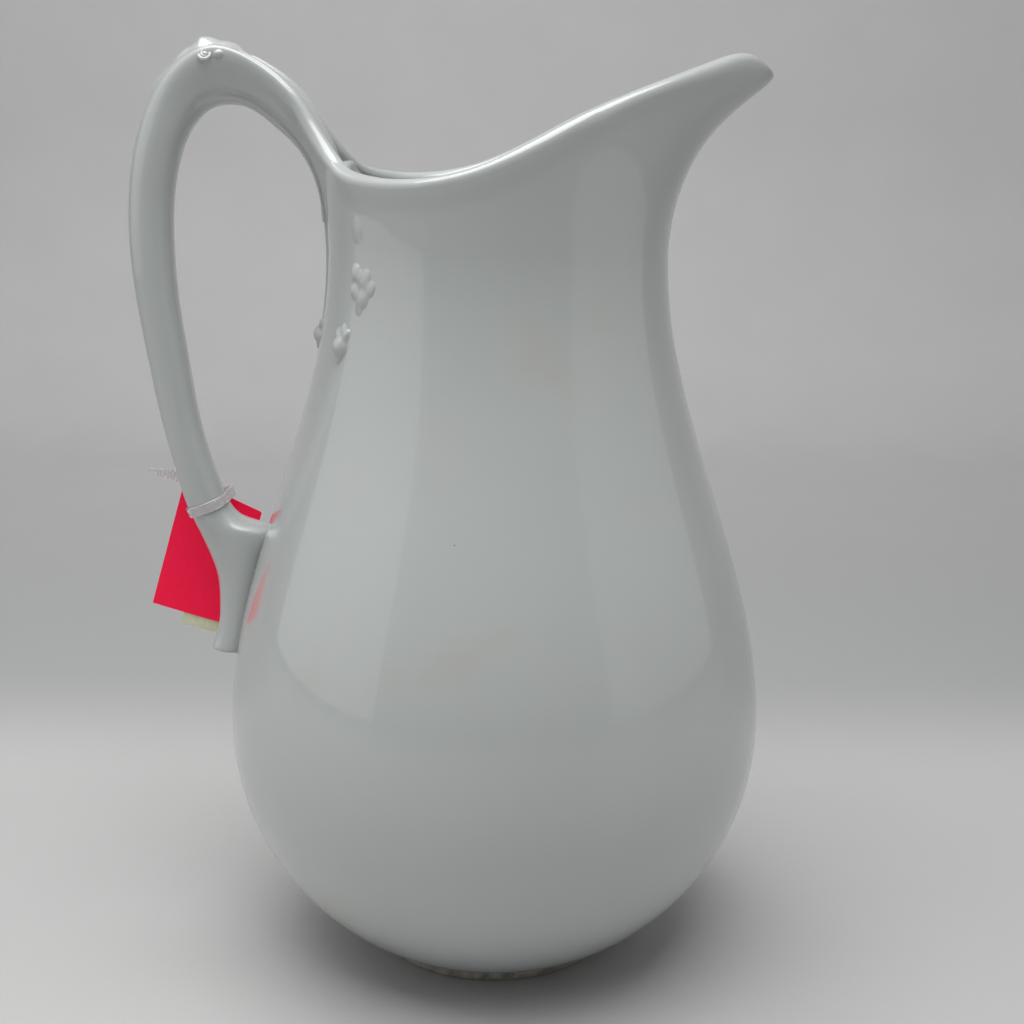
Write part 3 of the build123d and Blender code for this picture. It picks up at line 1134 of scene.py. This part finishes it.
@dataclass
class WallRelief:
    """An ornament raised on the back of the neck, as lobes that melt into each other."""

    name: str
    node: str
    azimuth: float
    height: float
    span: Row
    lobes: tuple[Lobe, ...]
    grid: float = 0.5
    blend: float = 0.36

    def build(self, jug: JugBody, glaze: bpy.types.Material) -> bpy.types.Object:
        """Builds the ornament and hangs it on the jug's body.

        Args:
            jug: The vessel that it sits on.
            glaze: Its material.

        Returns:
            The ornament.
        """
        left, right, low, high = self.span
        rows, columns = int((high - low) / self.grid) + 1, int((right - left) / self.grid) + 1
        top, bottom = np.zeros((rows, columns, 3)), np.zeros((rows, columns, 3))
        for row in range(rows):
            up = low + (high - low) * row / (rows - 1)
            for column in range(columns):
                across = left + (right - left) * column / (columns - 1)
                height = self.height + up
                angle = math.pi + math.radians(self.azimuth) + across / jug.radius(height)
                seat, out = jug.point(angle, height), jug.normal(angle, height)
                raised = soft_max([lobe.height(across, up) for lobe in self.lobes], self.blend)
                raised -= self.blend * 0.9
                top[row, column] = seat + out * max(raised, -0.5)
                bottom[row, column] = seat - out * 1.2
        form = Form()
        form.add_slab(top, bottom)
        return settle(form.link(self.name, glaze, 75.0), Body.JUG, Slot.GLAZE, self.node)


def bud_lobes(mirror: int) -> tuple[Lobe, ...]:
    """The lobes of one drop bud: a full round drop under a pair of small sepals.

    Args:
        mirror: 1 or -1, the side it leans to, or 0 for upright.

    Returns:
        The lobes.
    """
    return (
        Lobe(0.0, -0.6, 4.0, 3.7, 6.0 * mirror, 3.3, 0.1),
        Lobe(0.0, -4.2, 2.4, 1.6, 4.0 * mirror, 1.6, -0.3),
        Lobe(-2.3, 3.0, 2.6, 2.0, -30.0, 1.8, 0.2),
        Lobe(2.3, 3.0, 2.6, 2.0, 30.0, 1.8, 0.2),
        Lobe(0.0, 4.6, 2.6, 1.8, 0.0, 1.2, 0.2),
    )


def sprig_lobes(mirror: int) -> tuple[Lobe, ...]:
    """The lobes of one leaf sprig, from the lumpy cluster below to the faint leaf above.

    Args:
        mirror: 1 or -1, the side of the neck it is on.

    Returns:
        The lobes.
    """
    return (
        Lobe(-1.6 * mirror, 17.5, 5.4, 4.0, 6.0 * mirror, 0.7, 0.1),
        Lobe(-2.0 * mirror, 4.0, 3.6, 3.0, -16.0 * mirror, 1.8, 0.1),
        Lobe(2.4 * mirror, 2.0, 4.2, 3.4, 24.0 * mirror, 1.5, 0.1),
        Lobe(-2.4 * mirror, -1.4, 3.4, 2.8, -20.0 * mirror, 1.6, 0.1),
        Lobe(1.6 * mirror, -3.6, 3.8, 3.2, 10.0 * mirror, 1.5, 0.1),
        Lobe(5.4 * mirror, -0.6, 3.2, 2.4, 40.0 * mirror, 1.0, 0.1),
        Lobe(0.4 * mirror, -7.0, 2.6, 2.2, 0.0, 0.8, 0.1),
        Lobe(10.5 * mirror, 14.0, 7.5, 1.6, 72.0 * mirror, 0.28, 0.0),
    )


@dataclass
class NeckOrnaments:
    """The rib, the three buds and the two leaf sprigs moulded on the back of the neck."""

    glaze: bpy.types.Material
    jug: JugBody
    bud_height: float = 221.0
    bud_spread: float = 34.0
    sprig_height: float = 240.0
    sprig_spread: float = 41.0
    rib_width: float = 5.0
    rib_relief: float = 1.0

    def build_rib(self) -> bpy.types.Object:
        """Builds the rib that runs down from the handle's root to the middle bud.

        Returns:
            The rib.
        """
        low, high, rows, columns = 222.0, 272.0, 60, 17
        top, bottom = np.zeros((rows, columns, 3)), np.zeros((rows, columns, 3))
        for row in range(rows):
            height = low + (high - low) * row / (rows - 1)
            share = 0.6 + 0.9 * (height - low) / (high - low)
            for column in range(columns):
                side = 2 * column / (columns - 1) - 1
                angle = math.pi + side * self.rib_width * share * 0.75 / self.jug.radius(height)
                seat, out = self.jug.point(angle, height), self.jug.normal(angle, height)
                crown = self.rib_relief * share * (0.5 + 0.5 * math.cos(math.pi * side)) * 1.25
                top[row, column] = seat + out * (crown - 0.06)
                bottom[row, column] = seat - out * 1.2
        form = Form()
        form.add_slab(top, bottom)
        return settle(form.link("neck_spine", self.glaze, 75.0), Body.JUG, Slot.GLAZE, "neck_rib")

    def build(self) -> list[bpy.types.Object]:
        """Builds every ornament on the neck.

        Returns:
            The objects made.
        """
        made = [self.build_rib()]
        places = ((0, 0.0, "center"), (-1, -self.bud_spread, "left"), (1, self.bud_spread, "right"))
        for side, azimuth, name in places:
            bud = WallRelief(
                f"drop_bud_{name}", f"bud_{name}", azimuth, self.bud_height, (-6.5, 6.5, -10.0, 11.5), bud_lobes(side)
            )
            made.append(bud.build(self.jug, self.glaze))
        for side, name in ((-1, "left"), (1, "right")):
            span = (-9.0, 21.0, -15.0, 27.0) if side > 0 else (-21.0, 9.0, -15.0, 27.0)
            sprig = WallRelief(
                f"leaf_spray_{name}",
                f"leaf_sprig_{name}",
                side * self.sprig_spread,
                self.sprig_height,
                span,
                sprig_lobes(side),
            )
            made.append(sprig.build(self.jug, self.glaze))
        return made


@dataclass
class CrestOrnaments:
    """The pointed leaf on the handle's crest and the ring scroll on each side of it."""

    glaze: bpy.types.Material
    handle: Handle
    leaf_start: float = 3.9
    leaf_end: float = 7.1
    tip_at: float = 5.24
    tip_height: float = 2.4
    leaf_turn: float = 50.0
    ring_radius: float = 1.9
    wire: float = 0.8
    scroll_turn: float = 34.0

    def along(self, section: float) -> float:
        """The distance along the strap of a section, given as its index and a share of the way to the next."""
        whole = int(section)
        keys = self.handle.keys
        return keys[whole] + (section - whole) * (keys[whole + 1] - keys[whole])

    def leaf_height(self, section: float, turn: float) -> float:
        """The leaf's relief at a place on the strap.

        Args:
            section: The place along the strap, as a section index.
            turn: The turn round the strap in degrees from the middle of its outer side.

        Returns:
            The relief, below 0 outside the leaf.
        """
        share = (section - self.leaf_start) / (self.leaf_end - self.leaf_start)
        notch = 0.12 * abs(math.sin(share * math.pi * 3.5))
        width = self.leaf_turn * (math.sin(math.pi * min(1.0, max(0.0, share)) ** 0.8) ** 0.6 * 0.8 + 0.05 - notch)
        side = abs(turn) / max(width, 4.0)
        body = 0.7 * (1 - side**2) if side < 1 else -1.6 * min(1.5, side - 1)
        vein = 0.30 * math.cos(share * math.pi * 11 - side * 3.0) * max(0.0, 1 - side)
        near = (section - self.tip_at) / (0.30 if section > self.tip_at else 0.42)
        spread = turn / 20.0
        point = self.tip_height * math.exp(-abs(near)) * math.exp(-(spread**2))
        end = smooth_step(self.leaf_start, self.leaf_start + 0.5, section)
        end *= 1 - smooth_step(self.leaf_end - 0.6, self.leaf_end, section)
        return (body + vein + point) * end - 0.35 * (1 - end)

    def build_leaf(self) -> bpy.types.Object:
        """Builds the leaf with its raised point.

        Returns:
            The leaf.
        """
        rows, columns = 90, 49
        top, bottom = np.zeros((rows, columns, 3)), np.zeros((rows, columns, 3))
        for row in range(rows):
            section = self.leaf_start + (self.leaf_end - self.leaf_start) * row / (rows - 1)
            along = self.along(section)
            middle, _, _, _ = self.handle.frame(along)
            for column in range(columns):
                turn = -58.0 + 116.0 * column / (columns - 1)
                seat = self.handle.surface(along, math.radians(turn))
                out = seat - middle
                out /= np.linalg.norm(out)
                top[row, column] = seat + out * self.leaf_height(section, turn)
                bottom[row, column] = seat - out * 1.5
        form = Form()
        form.add_slab(top, bottom)
        return settle(form.link("crest_acanthus", self.glaze, 75.0), Body.JUG, Slot.GLAZE, "crest_leaf")

    def build_scroll(self, side: int, name: str) -> bpy.types.Object:
        """Builds one scroll: a tapering volute round a pearl, with a small drop beside it.

        Args:
            side: 1 for the +Y side and -1 for the other.
            name: The CAD node it stands for.

        Returns:
            The scroll.
        """
        middle, across, depth, width = self.handle.frame(self.along(5.0))
        lift = math.radians(self.scroll_turn)
        center = middle + np.array((0.0, side * width * 0.94, 0.0)) - across * depth * 0.60
        out = np.array((0.0, side * math.cos(lift), 0.0)) - across * math.sin(lift)
        out /= np.linalg.norm(out)
        first = np.cross(np.array((0.0, 1.0, 0.0)), across)
        first -= out * float(np.dot(first, out))
        first /= np.linalg.norm(first)
        second = np.cross(out, first)
        form = Form()
        rings = []
        for step in range(49):
            share = step / 48
            turn = 2 * math.pi * 1.35 * share
            reach = self.ring_radius * (1.05 - 0.62 * share)
            size = self.wire * (1.0 - 0.45 * share) * (1 - 0.5 * smooth_step(0.9, 1.0, share))
            spoke = first * math.cos(turn) + second * math.sin(turn)
            seat = center + spoke * reach + out * (0.25 + 0.55 * share)
            ring = []
            for at in range(12):
                round_turn = 2 * math.pi * at / 12
                ring.append(seat + spoke * size * math.cos(round_turn) + out * size * math.sin(round_turn))
            rings.append(ring)
        form.add_rings(rings)
        for place, size in ((center + out * 0.5, 0.9), (center - first * 4.4 + out * 0.3, 1.5)):
            ball = []
            for band in range(1, 10):
                tilt = math.pi * band / 10
                ring = []
                for at in range(16):
                    turn = 2 * math.pi * at / 16
                    spoke = first * math.cos(turn) * 1.25 + second * math.sin(turn)
                    ring.append(place + (spoke * math.sin(tilt) + out * math.cos(tilt)) * size)
                ball.append(ring)
            form.add_rings(ball)
        return settle(form.link(f"{name}_volute", self.glaze, 60.0), Body.JUG, Slot.GLAZE, name)

    def build(self) -> list[bpy.types.Object]:
        """Builds the leaf and both scrolls.

        Returns:
            The objects made.
        """
        made = [self.build_leaf()]
        for side, name in ((1, "crest_scroll_left"), (-1, "crest_scroll_right")):
            made.append(self.build_scroll(side, name))
        return made


# ----------------------------------------------------------------------------------------------------
# The price card and its tie
# ----------------------------------------------------------------------------------------------------


@dataclass
class CableTie:
    """A clear cable tie: a snug loop round the handle, a lock head behind it and a toothed tail."""

    nylon: bpy.types.Material
    handle: Handle
    width: float = 3.6
    thickness: float = 1.1
    clearance: float = 0.3
    head: Row = (5.6, 4.2, 5.2)
    head_lift: float = 3.0
    tail_turn: float = 20.0
    tail_length: float = 23.5
    tail_droop: float = 2.4
    tail_tip: float = 1.3
    section: Row = (28.7, -92.4, 18.0, -87.4)
    section_width: float = 17.0
    card_stand_off: float = 2.0
    card_thickness: float = 0.4
    slip_thickness: float = 0.25
    card_play: float = 1.1
    slant: float = 4.0
    straight: float = 3.0
    front_radius: float = 6.2
    back_radius: float = 3.0
    tooth_pitch: float = 1.25
    tooth_height: float = 0.22
    snug: float = 0.5

    def __post_init__(self) -> None:
        """Works out the loop's plane and its inner outline."""
        outer = self.handle.beside_wall(*self.section[0:2])
        inner = self.handle.beside_wall(*self.section[2:4])
        self.middle = (outer + inner) / 2
        self.across = (inner - outer) / np.linalg.norm(inner - outer)
        self.side = np.array((0.0, 1.0, 0.0))
        self.normal = np.cross(self.across, self.side)
        self.half = float(np.linalg.norm(inner - outer)) / 2 + self.clearance
        self.front = self.section_width / 2 + self.clearance
        self.card_face = self.section_width / 2 + self.card_stand_off
        self.back = self.card_face + self.card_thickness + self.slip_thickness + self.card_play
        lean = self.slant / (self.back - self.straight)
        offset = self.half - lean * (self.card_face - self.straight) + self.thickness / 2
        self.hole = self.middle - self.across * offset
        self.corners = (
            (-self.half, -self.front),
            (self.half, -self.front),
            (self.half, self.back),
            (self.slant - self.half, self.back),
            (-self.half, self.straight),
        )
        self.radii = (self.front_radius, self.front_radius, self.back_radius, self.thickness, self.back_radius)

    def outline(self) -> list[tuple[np.ndarray, np.ndarray]]:
        """The loop's inner outline with rounded corners.

        Returns:
            Points in the loop's plane with the outward direction at each.
        """
        count, line = len(self.corners), []
        for at, (corner, radius) in enumerate(zip(self.corners, self.radii)):
            here = np.array(corner)
            before, after = np.array(self.corners[at - 1]) - here, np.array(self.corners[(at + 1) % count]) - here
            before, after = before / np.linalg.norm(before), after / np.linalg.norm(after)
            half = math.acos(float(np.clip(np.dot(before, after), -1, 1))) / 2
            bisector = (before + after) / np.linalg.norm(before + after)
            center = here + bisector * radius / math.sin(half)
            start, end = -np.array((before[1], -before[0])), np.array((after[1], -after[0]))
            first, last = math.atan2(start[1], start[0]), math.atan2(end[1], end[0])
            sweep = (last - first + math.pi) % (2 * math.pi) - math.pi
            for step in range(9):
                turn = first + sweep * step / 8
                out = np.array((math.cos(turn), math.sin(turn)))
                line.append((center + out * radius, out))
        return line

    def place(self, flat: np.ndarray, lift: float) -> np.ndarray:
        """A point of the loop's plane in space, lifted along the handle."""
        return self.middle + self.across * flat[0] + self.side * flat[1] + self.normal * lift

    def build_loop(self, form: Form) -> None:
        """Adds the loop, a flat band with rounded edges.

        Args:
            form: The mesh being made.
        """
        line = self.outline()
        half = self.width / 2
        rings = []
        for flat, out in line:
            snug = self.snug * (1 - smooth_step(-4.0, 4.0, flat[1]))
            thick = self.thickness - snug
            section = ((0.0, -half + 0.25), (0.0, half - 0.25), (0.2, half), (thick - 0.2, half))
            section += ((thick, half - 0.25), (thick, -half + 0.25), (thick - 0.2, -half), (0.2, -half))
            rings.append([self.place(flat + out * (reach - snug * 0.6), lift) for reach, lift in section])
        start, count = len(form.points), len(rings[0])
        form.add_rings(rings, close=False)
        last = start + (len(rings) - 1) * count
        for at in range(count):
            beside = (at + 1) % count
            form.faces.append((last + at, last + beside, start + beside, start + at))

    def build_head(self, form: Form) -> None:
        """Adds the lock head, a rounded block that narrows towards the tail.

        Args:
            form: The mesh being made.
        """
        center = self.place(np.array((0.0, self.back + self.head[1] / 2)), self.head_lift)
        turn = math.radians(self.tail_turn)
        along = np.array((-math.cos(turn), 0.0, math.sin(turn)))
        up = np.cross(along, self.side) * -1
        rings = []
        for share, size in ((-1.0, 0.80), (-0.94, 0.94), (-0.8, 1.0), (0.8, 1.0), (0.94, 0.94), (1.0, 0.80)):
            ring = []
            for at in range(24):
                round_turn = 2 * math.pi * at / 24
                wide = math.copysign(abs(math.cos(round_turn)) ** 0.45, math.cos(round_turn))
                high = math.copysign(abs(math.sin(round_turn)) ** 0.45, math.sin(round_turn))
                spot = center + self.side * share * self.head[1] / 2
                ring.append(spot + along * wide * size * self.head[0] / 2 + up * high * size * self.head[2] / 2)
            rings.append(ring)
        form.add_rings(rings)

    def build_tail(self, form: Form) -> None:
        """Adds the tail: a toothed strip that droops and narrows to its tip.

        Args:
            form: The mesh being made.
        """
        center = self.place(np.array((0.0, self.back + self.head[1] / 2)), self.head_lift)
        turn = math.radians(self.tail_turn)
        along = np.array((-math.cos(turn), 0.0, math.sin(turn)))
        up = np.array((math.sin(turn), 0.0, math.cos(turn)))
        rings, steps = [], 132
        for step in range(steps + 1):
            share = step / steps
            reach = self.tail_length * share
            late = smooth_step(0.55, 1.1, share)
            half = self.width / 2 * (1 - late) + self.tail_tip / 2 * late
            drop = self.tail_droop * share**2.2
            tooth = (reach / self.tooth_pitch) % 1.0
            ridge = self.tooth_height * (1 - abs(2 * tooth - 1)) if 0.16 < share < 0.9 else 0.0
            seat = center + along * reach - up * drop
            thick = self.thickness / 2
            ring = []
            for high, deep in (
                (-half, -thick + 0.15),
                (-half + 0.5, -thick),
                (half - 0.5, -thick),
                (half, -thick + 0.15),
                (half, thick - 0.15),
                (half - 0.5, thick + ridge - 0.1),
                (-half + 0.5, thick + ridge - 0.1),
                (-half, thick - 0.15),
            ):
                comb = 0.16 * (1 if ridge > self.tooth_height * 0.5 else 0) * (1 if abs(high) == half else 0)
                ring.append(seat + up * (high + math.copysign(comb, high)) - self.side * deep)
            rings.append(ring)
        form.add_rings(rings)

    def build(self) -> bpy.types.Object:
        """Builds the tie and hangs it on the jug's body.

        Returns:
            The object made.
        """
        form = Form()
        self.build_loop(form)
        self.build_head(form)
        self.build_tail(form)
        return settle(form.link("cable_tie", self.nylon, 35.0), Body.JUG, Slot.TIE, "tag_tie")


@dataclass
class PriceCard:
    """The hand-cut card that hangs on the tie by its punched hole, and the paper slip stuck to its back."""

    stock: bpy.types.Material
    paper: bpy.types.Material
    tie: CableTie
    width: float = 29.4
    length: float = 49.1
    tilt: float = 16.4
    skew: float = 9.0
    hole_radius: float = 2.6
    hole_from_side: float = 8.4
    hole_from_top: float = 5.4
    slip_width: float = 16.8
    slip_from_side: float = 11.7
    slip_from_top: float = 14.7
    slip_overhang: float = 4.4
    curl: float = 0.35

    def __post_init__(self) -> None:
        """Works out the card's own axes and corners."""
        turn = math.radians(self.tilt)
        self.right = np.array((math.cos(turn), 0.0, -math.sin(turn)))
        self.down = np.array((-math.sin(turn), 0.0, -math.cos(turn)))
        self.origin = np.array((self.tie.hole[0], self.tie.card_face, self.tie.hole[2]))
        slope = math.tan(math.radians(self.skew))
        left = -self.hole_from_side
        top = -self.hole_from_top + left * slope
        self.corners = (
            (left, top),
            (left + self.width, top + self.width * slope),
            (left + self.width, top + self.length),
            (left, top + self.length),
        )

    def place(self, across: float, down: float, proud: float) -> np.ndarray:
        """A point of the card in space, with its slight curl.

        Args:
            across: The distance from the hole along the lower edge.
            down: The distance from the hole down the card.
            proud: The distance from the card's front face towards its back.

        Returns:
            The point.
        """
        bow = self.curl * (((across - 6.0) / 15.0) ** 2 - 0.4) * smooth_step(6.0, 40.0, down)
        offset = np.array((0.0, proud + bow, 0.0))
        return self.origin + self.right * across + self.down * down + offset

    def edge(self, share: float) -> Row:
        """A point round the card's outline, starting at the middle of its right side, going up.

        Args:
            share: The share of the way round.

        Returns:
            Its place across and down the card.
        """
        corners = self.corners
        start = tuple((corners[1][at] + corners[2][at]) / 2 for at in (0, 1))
        line = [start, corners[1], corners[0], corners[3], corners[2], start]
        lengths = [math.dist(line[at], line[at + 1]) for at in range(5)]
        left = share * sum(lengths)
        for at, length in enumerate(lengths):
            if left <= length or at == 4:
                part = min(1.0, left / length)
                spot = [line[at][axis] + (line[at + 1][axis] - line[at][axis]) * part for axis in (0, 1)]
                break
            left -= length
        wobble = 0.10 * noise.noise(Vector((spot[0] * 0.11, spot[1] * 0.11, 3.0)))
        return (spot[0] + wobble, spot[1] + wobble)

    def build_card(self) -> bpy.types.Object:
        """Builds the card, with its hole, and hangs it on the tag's body.

        Returns:
            The card.
        """
        spokes, bands = 160, 16
        rings = []
        layers = ((0.0, 0.0), (self.tie.card_thickness, 1.0))
        for proud, way in layers:
            order = range(bands + 1) if way == 0.0 else reversed(range(bands + 1))
            for band in order:
                share = band / bands
                ring = []
                for spoke in range(spokes):
                    outer = self.edge(spoke / spokes)
                    turn = math.atan2(outer[1], outer[0])
                    inner = (self.hole_radius * math.cos(turn), self.hole_radius * math.sin(turn))
                    spread = share**1.25
                    spot = [inner[at] + (outer[at] - inner[at]) * spread for at in (0, 1)]
                    ring.append(self.place(spot[0], spot[1], proud))
                rings.append(ring)
        form = Form()
        form.add_rings(rings, close=False)
        last = (len(rings) - 1) * spokes
        for spoke in range(spokes):
            beside = (spoke + 1) % spokes
            form.faces.append((last + spoke, last + beside, beside, spoke))
        return settle(form.link("price_card", self.stock, 35.0), Body.TAG, Slot.CARD, "tag_card")

    def build_slip(self) -> bpy.types.Object:
        """Builds the slip, lifting a little at its free lower end, and hangs it on the tag's body.

        Returns:
            The slip.
        """
        left = self.corners[0][0] + self.slip_from_side
        top = self.corners[0][1] + self.slip_from_top
        bottom = self.corners[3][1] + self.slip_overhang
        rows, columns = 40, 18
        front, back = np.zeros((rows, columns, 3)), np.zeros((rows, columns, 3))
        near, far = self.tie.card_thickness, self.tie.card_thickness + self.tie.slip_thickness
        for row in range(rows):
            down = top + (bottom - top) * row / (rows - 1)
            for column in range(columns):
                across = left + self.slip_width * column / (columns - 1)
                ragged = 0.12 * noise.noise(Vector((across * 0.3, down * 0.2, 8.0)))
                front[row, column] = self.place(across, down + ragged, near)
                back[row, column] = self.place(across, down + ragged, far)
        form = Form()
        form.add_slab(front, back)
        return settle(form.link("note_slip", self.paper, 35.0), Body.TAG, Slot.SLIP, "tag_slip")

    def build(self) -> list[bpy.types.Object]:
        """Builds the card and the slip."""
        return [self.build_card(), self.build_slip()]


# ----------------------------------------------------------------------------------------------------
# The studio
# ----------------------------------------------------------------------------------------------------


@dataclass(frozen=True)
class SoftBox:
    """A rectangular soft light, aimed at a point, in millimetres."""

    name: str
    place: Row
    aim: Row
    size: Row
    watts: float
    color: Color = (1.0, 1.0, 1.0)

    def light(self) -> bpy.types.Object:
        """Makes the light.

        Returns:
            The light.
        """
        data = bpy.data.lights.new(self.name, "AREA")
        data.shape = "RECTANGLE"
        data.size, data.size_y = self.size[0] * MM, self.size[1] * MM
        data.energy, data.color = self.watts, self.color
        lamp = bpy.data.objects.new(self.name, data)
        bpy.context.scene.collection.objects.link(lamp)
        lamp.location = [part * MM for part in self.place]
        way = Vector(self.aim) - Vector(self.place)
        lamp.rotation_euler = way.to_track_quat("-Z", "Y").to_euler()
        lamp.visible_camera = False
        return lamp


@dataclass
class Studio:
    """A pale paper floor that runs up into a wall, soft boxes and the camera."""

    paper: bpy.types.Material
    half_width: float = 2600.0
    front: float = -2600.0
    back: float = 1150.0
    cove: float = 300.0
    wall_height: float = 1700.0
    lens: float = 54.5
    camera_place: Row = (5.5, -530.3, 286.1)
    camera_pitch: float = 76.43
    camera_roll: float = 0.57
    camera_yaw: float = 0.0
    ambient: float = 0.14
    sky: Color = (0.97, 0.985, 1.0)
    boxes: tuple[SoftBox, ...] = (
        SoftBox("top_box", (-80.0, -190.0, 1150.0), (0.0, -60.0, 0.0), (1200.0, 1000.0), 15.5),
        SoftBox("left_wall", (-1150.0, -250.0, 620.0), (0.0, -50.0, 300.0), (1500.0, 1200.0), 3.2),
        SoftBox("right_wall", (1150.0, -250.0, 620.0), (0.0, -50.0, 300.0), (1500.0, 1200.0), 1.8),
    )

    def build_paper(self) -> bpy.types.Object:
        """Builds the floor and the wall behind as one swept sheet.

        Returns:
            The sheet.
        """
        line = [(self.front, 0.0), (-600.0, 0.0), (0.0, 0.0), (self.back - self.cove, 0.0)]
        for step in range(1, 13):
            turn = math.pi / 2 * step / 12
            line.append((self.back - self.cove + self.cove * math.sin(turn), self.cove * (1 - math.cos(turn))))
        line.append((self.back, self.wall_height))
        form = Form()
        columns = 5
        for depth, height in line:
            for column in range(columns):
                form.points.append((self.half_width * (2 * column / (columns - 1) - 1), depth, height))
        for row in range(len(line) - 1):
            for column in range(columns - 1):
                at = row * columns + column
                form.faces.append((at, at + 1, at + columns + 1, at + columns))
        sheet = form.link("paper_sweep", self.paper)
        return sheet

    def build_camera(self) -> bpy.types.Object:
        """Makes the camera and gives it to the scene.

        Returns:
            The camera.
        """
        data = bpy.data.cameras.new("camera")
        data.lens, data.sensor_width = self.lens, 36.0
        data.clip_start, data.clip_end = 0.01, 20.0
        camera = bpy.data.objects.new("camera", data)
        bpy.context.scene.collection.objects.link(camera)
        camera.location = [part * MM for part in self.camera_place]
        turn = Euler((math.radians(self.camera_pitch), 0.0, math.radians(self.camera_yaw))).to_quaternion()
        roll = Euler((0.0, 0.0, math.radians(self.camera_roll))).to_quaternion()
        camera.rotation_euler = (turn @ roll).to_euler()
        bpy.context.scene.camera = camera
        return camera

    def build(self) -> None:
        """Builds the sweep, the lights, the sky and the camera."""
        self.build_paper()
        for box in self.boxes:
            box.light()
        world = bpy.data.worlds.new("studio")
        world.use_nodes = True
        background = world.node_tree.nodes["Background"]
        background.inputs["Color"].default_value = (*self.sky, 1.0)
        background.inputs["Strength"].default_value = self.ambient
        bpy.context.scene.world = world
        bpy.context.scene.view_settings.view_transform = "Standard"
        self.build_camera()
        log.info("studio: %d soft boxes", len(self.boxes))


def main() -> None:
    """Builds the jug over its frame, piece by piece, and the studio round it."""
    logging.basicConfig(level=logging.INFO, format="%(name)s: %(message)s")
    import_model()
    flecks = (
        Fleck((-7.5, -92.0, 122.0), 1.5, (0.50, 0.36, 0.25)),
        Fleck((-33.0, -43.5, 268.5), 0.45, (0.10, 0.09, 0.08)),
    )
    glaze = IronstoneGlaze(flecks=flecks).material()
    jug = JugBody(glaze)
    jug.build()
    FootRing(BareClay().material()).build()
    handle = Handle(glaze, jug)
    handle.build()
    NeckOrnaments(glaze, jug).build()
    CrestOrnaments(glaze, handle).build()
    tie = CableTie(ClearNylon().material(), handle)
    tie.build()
    PriceCard(DyedCardPaintedGlow().material(), SlipPaper().material(), tie).build()
    Studio(StudioPaper().material()).build()


if __name__ == "__main__":
    main()
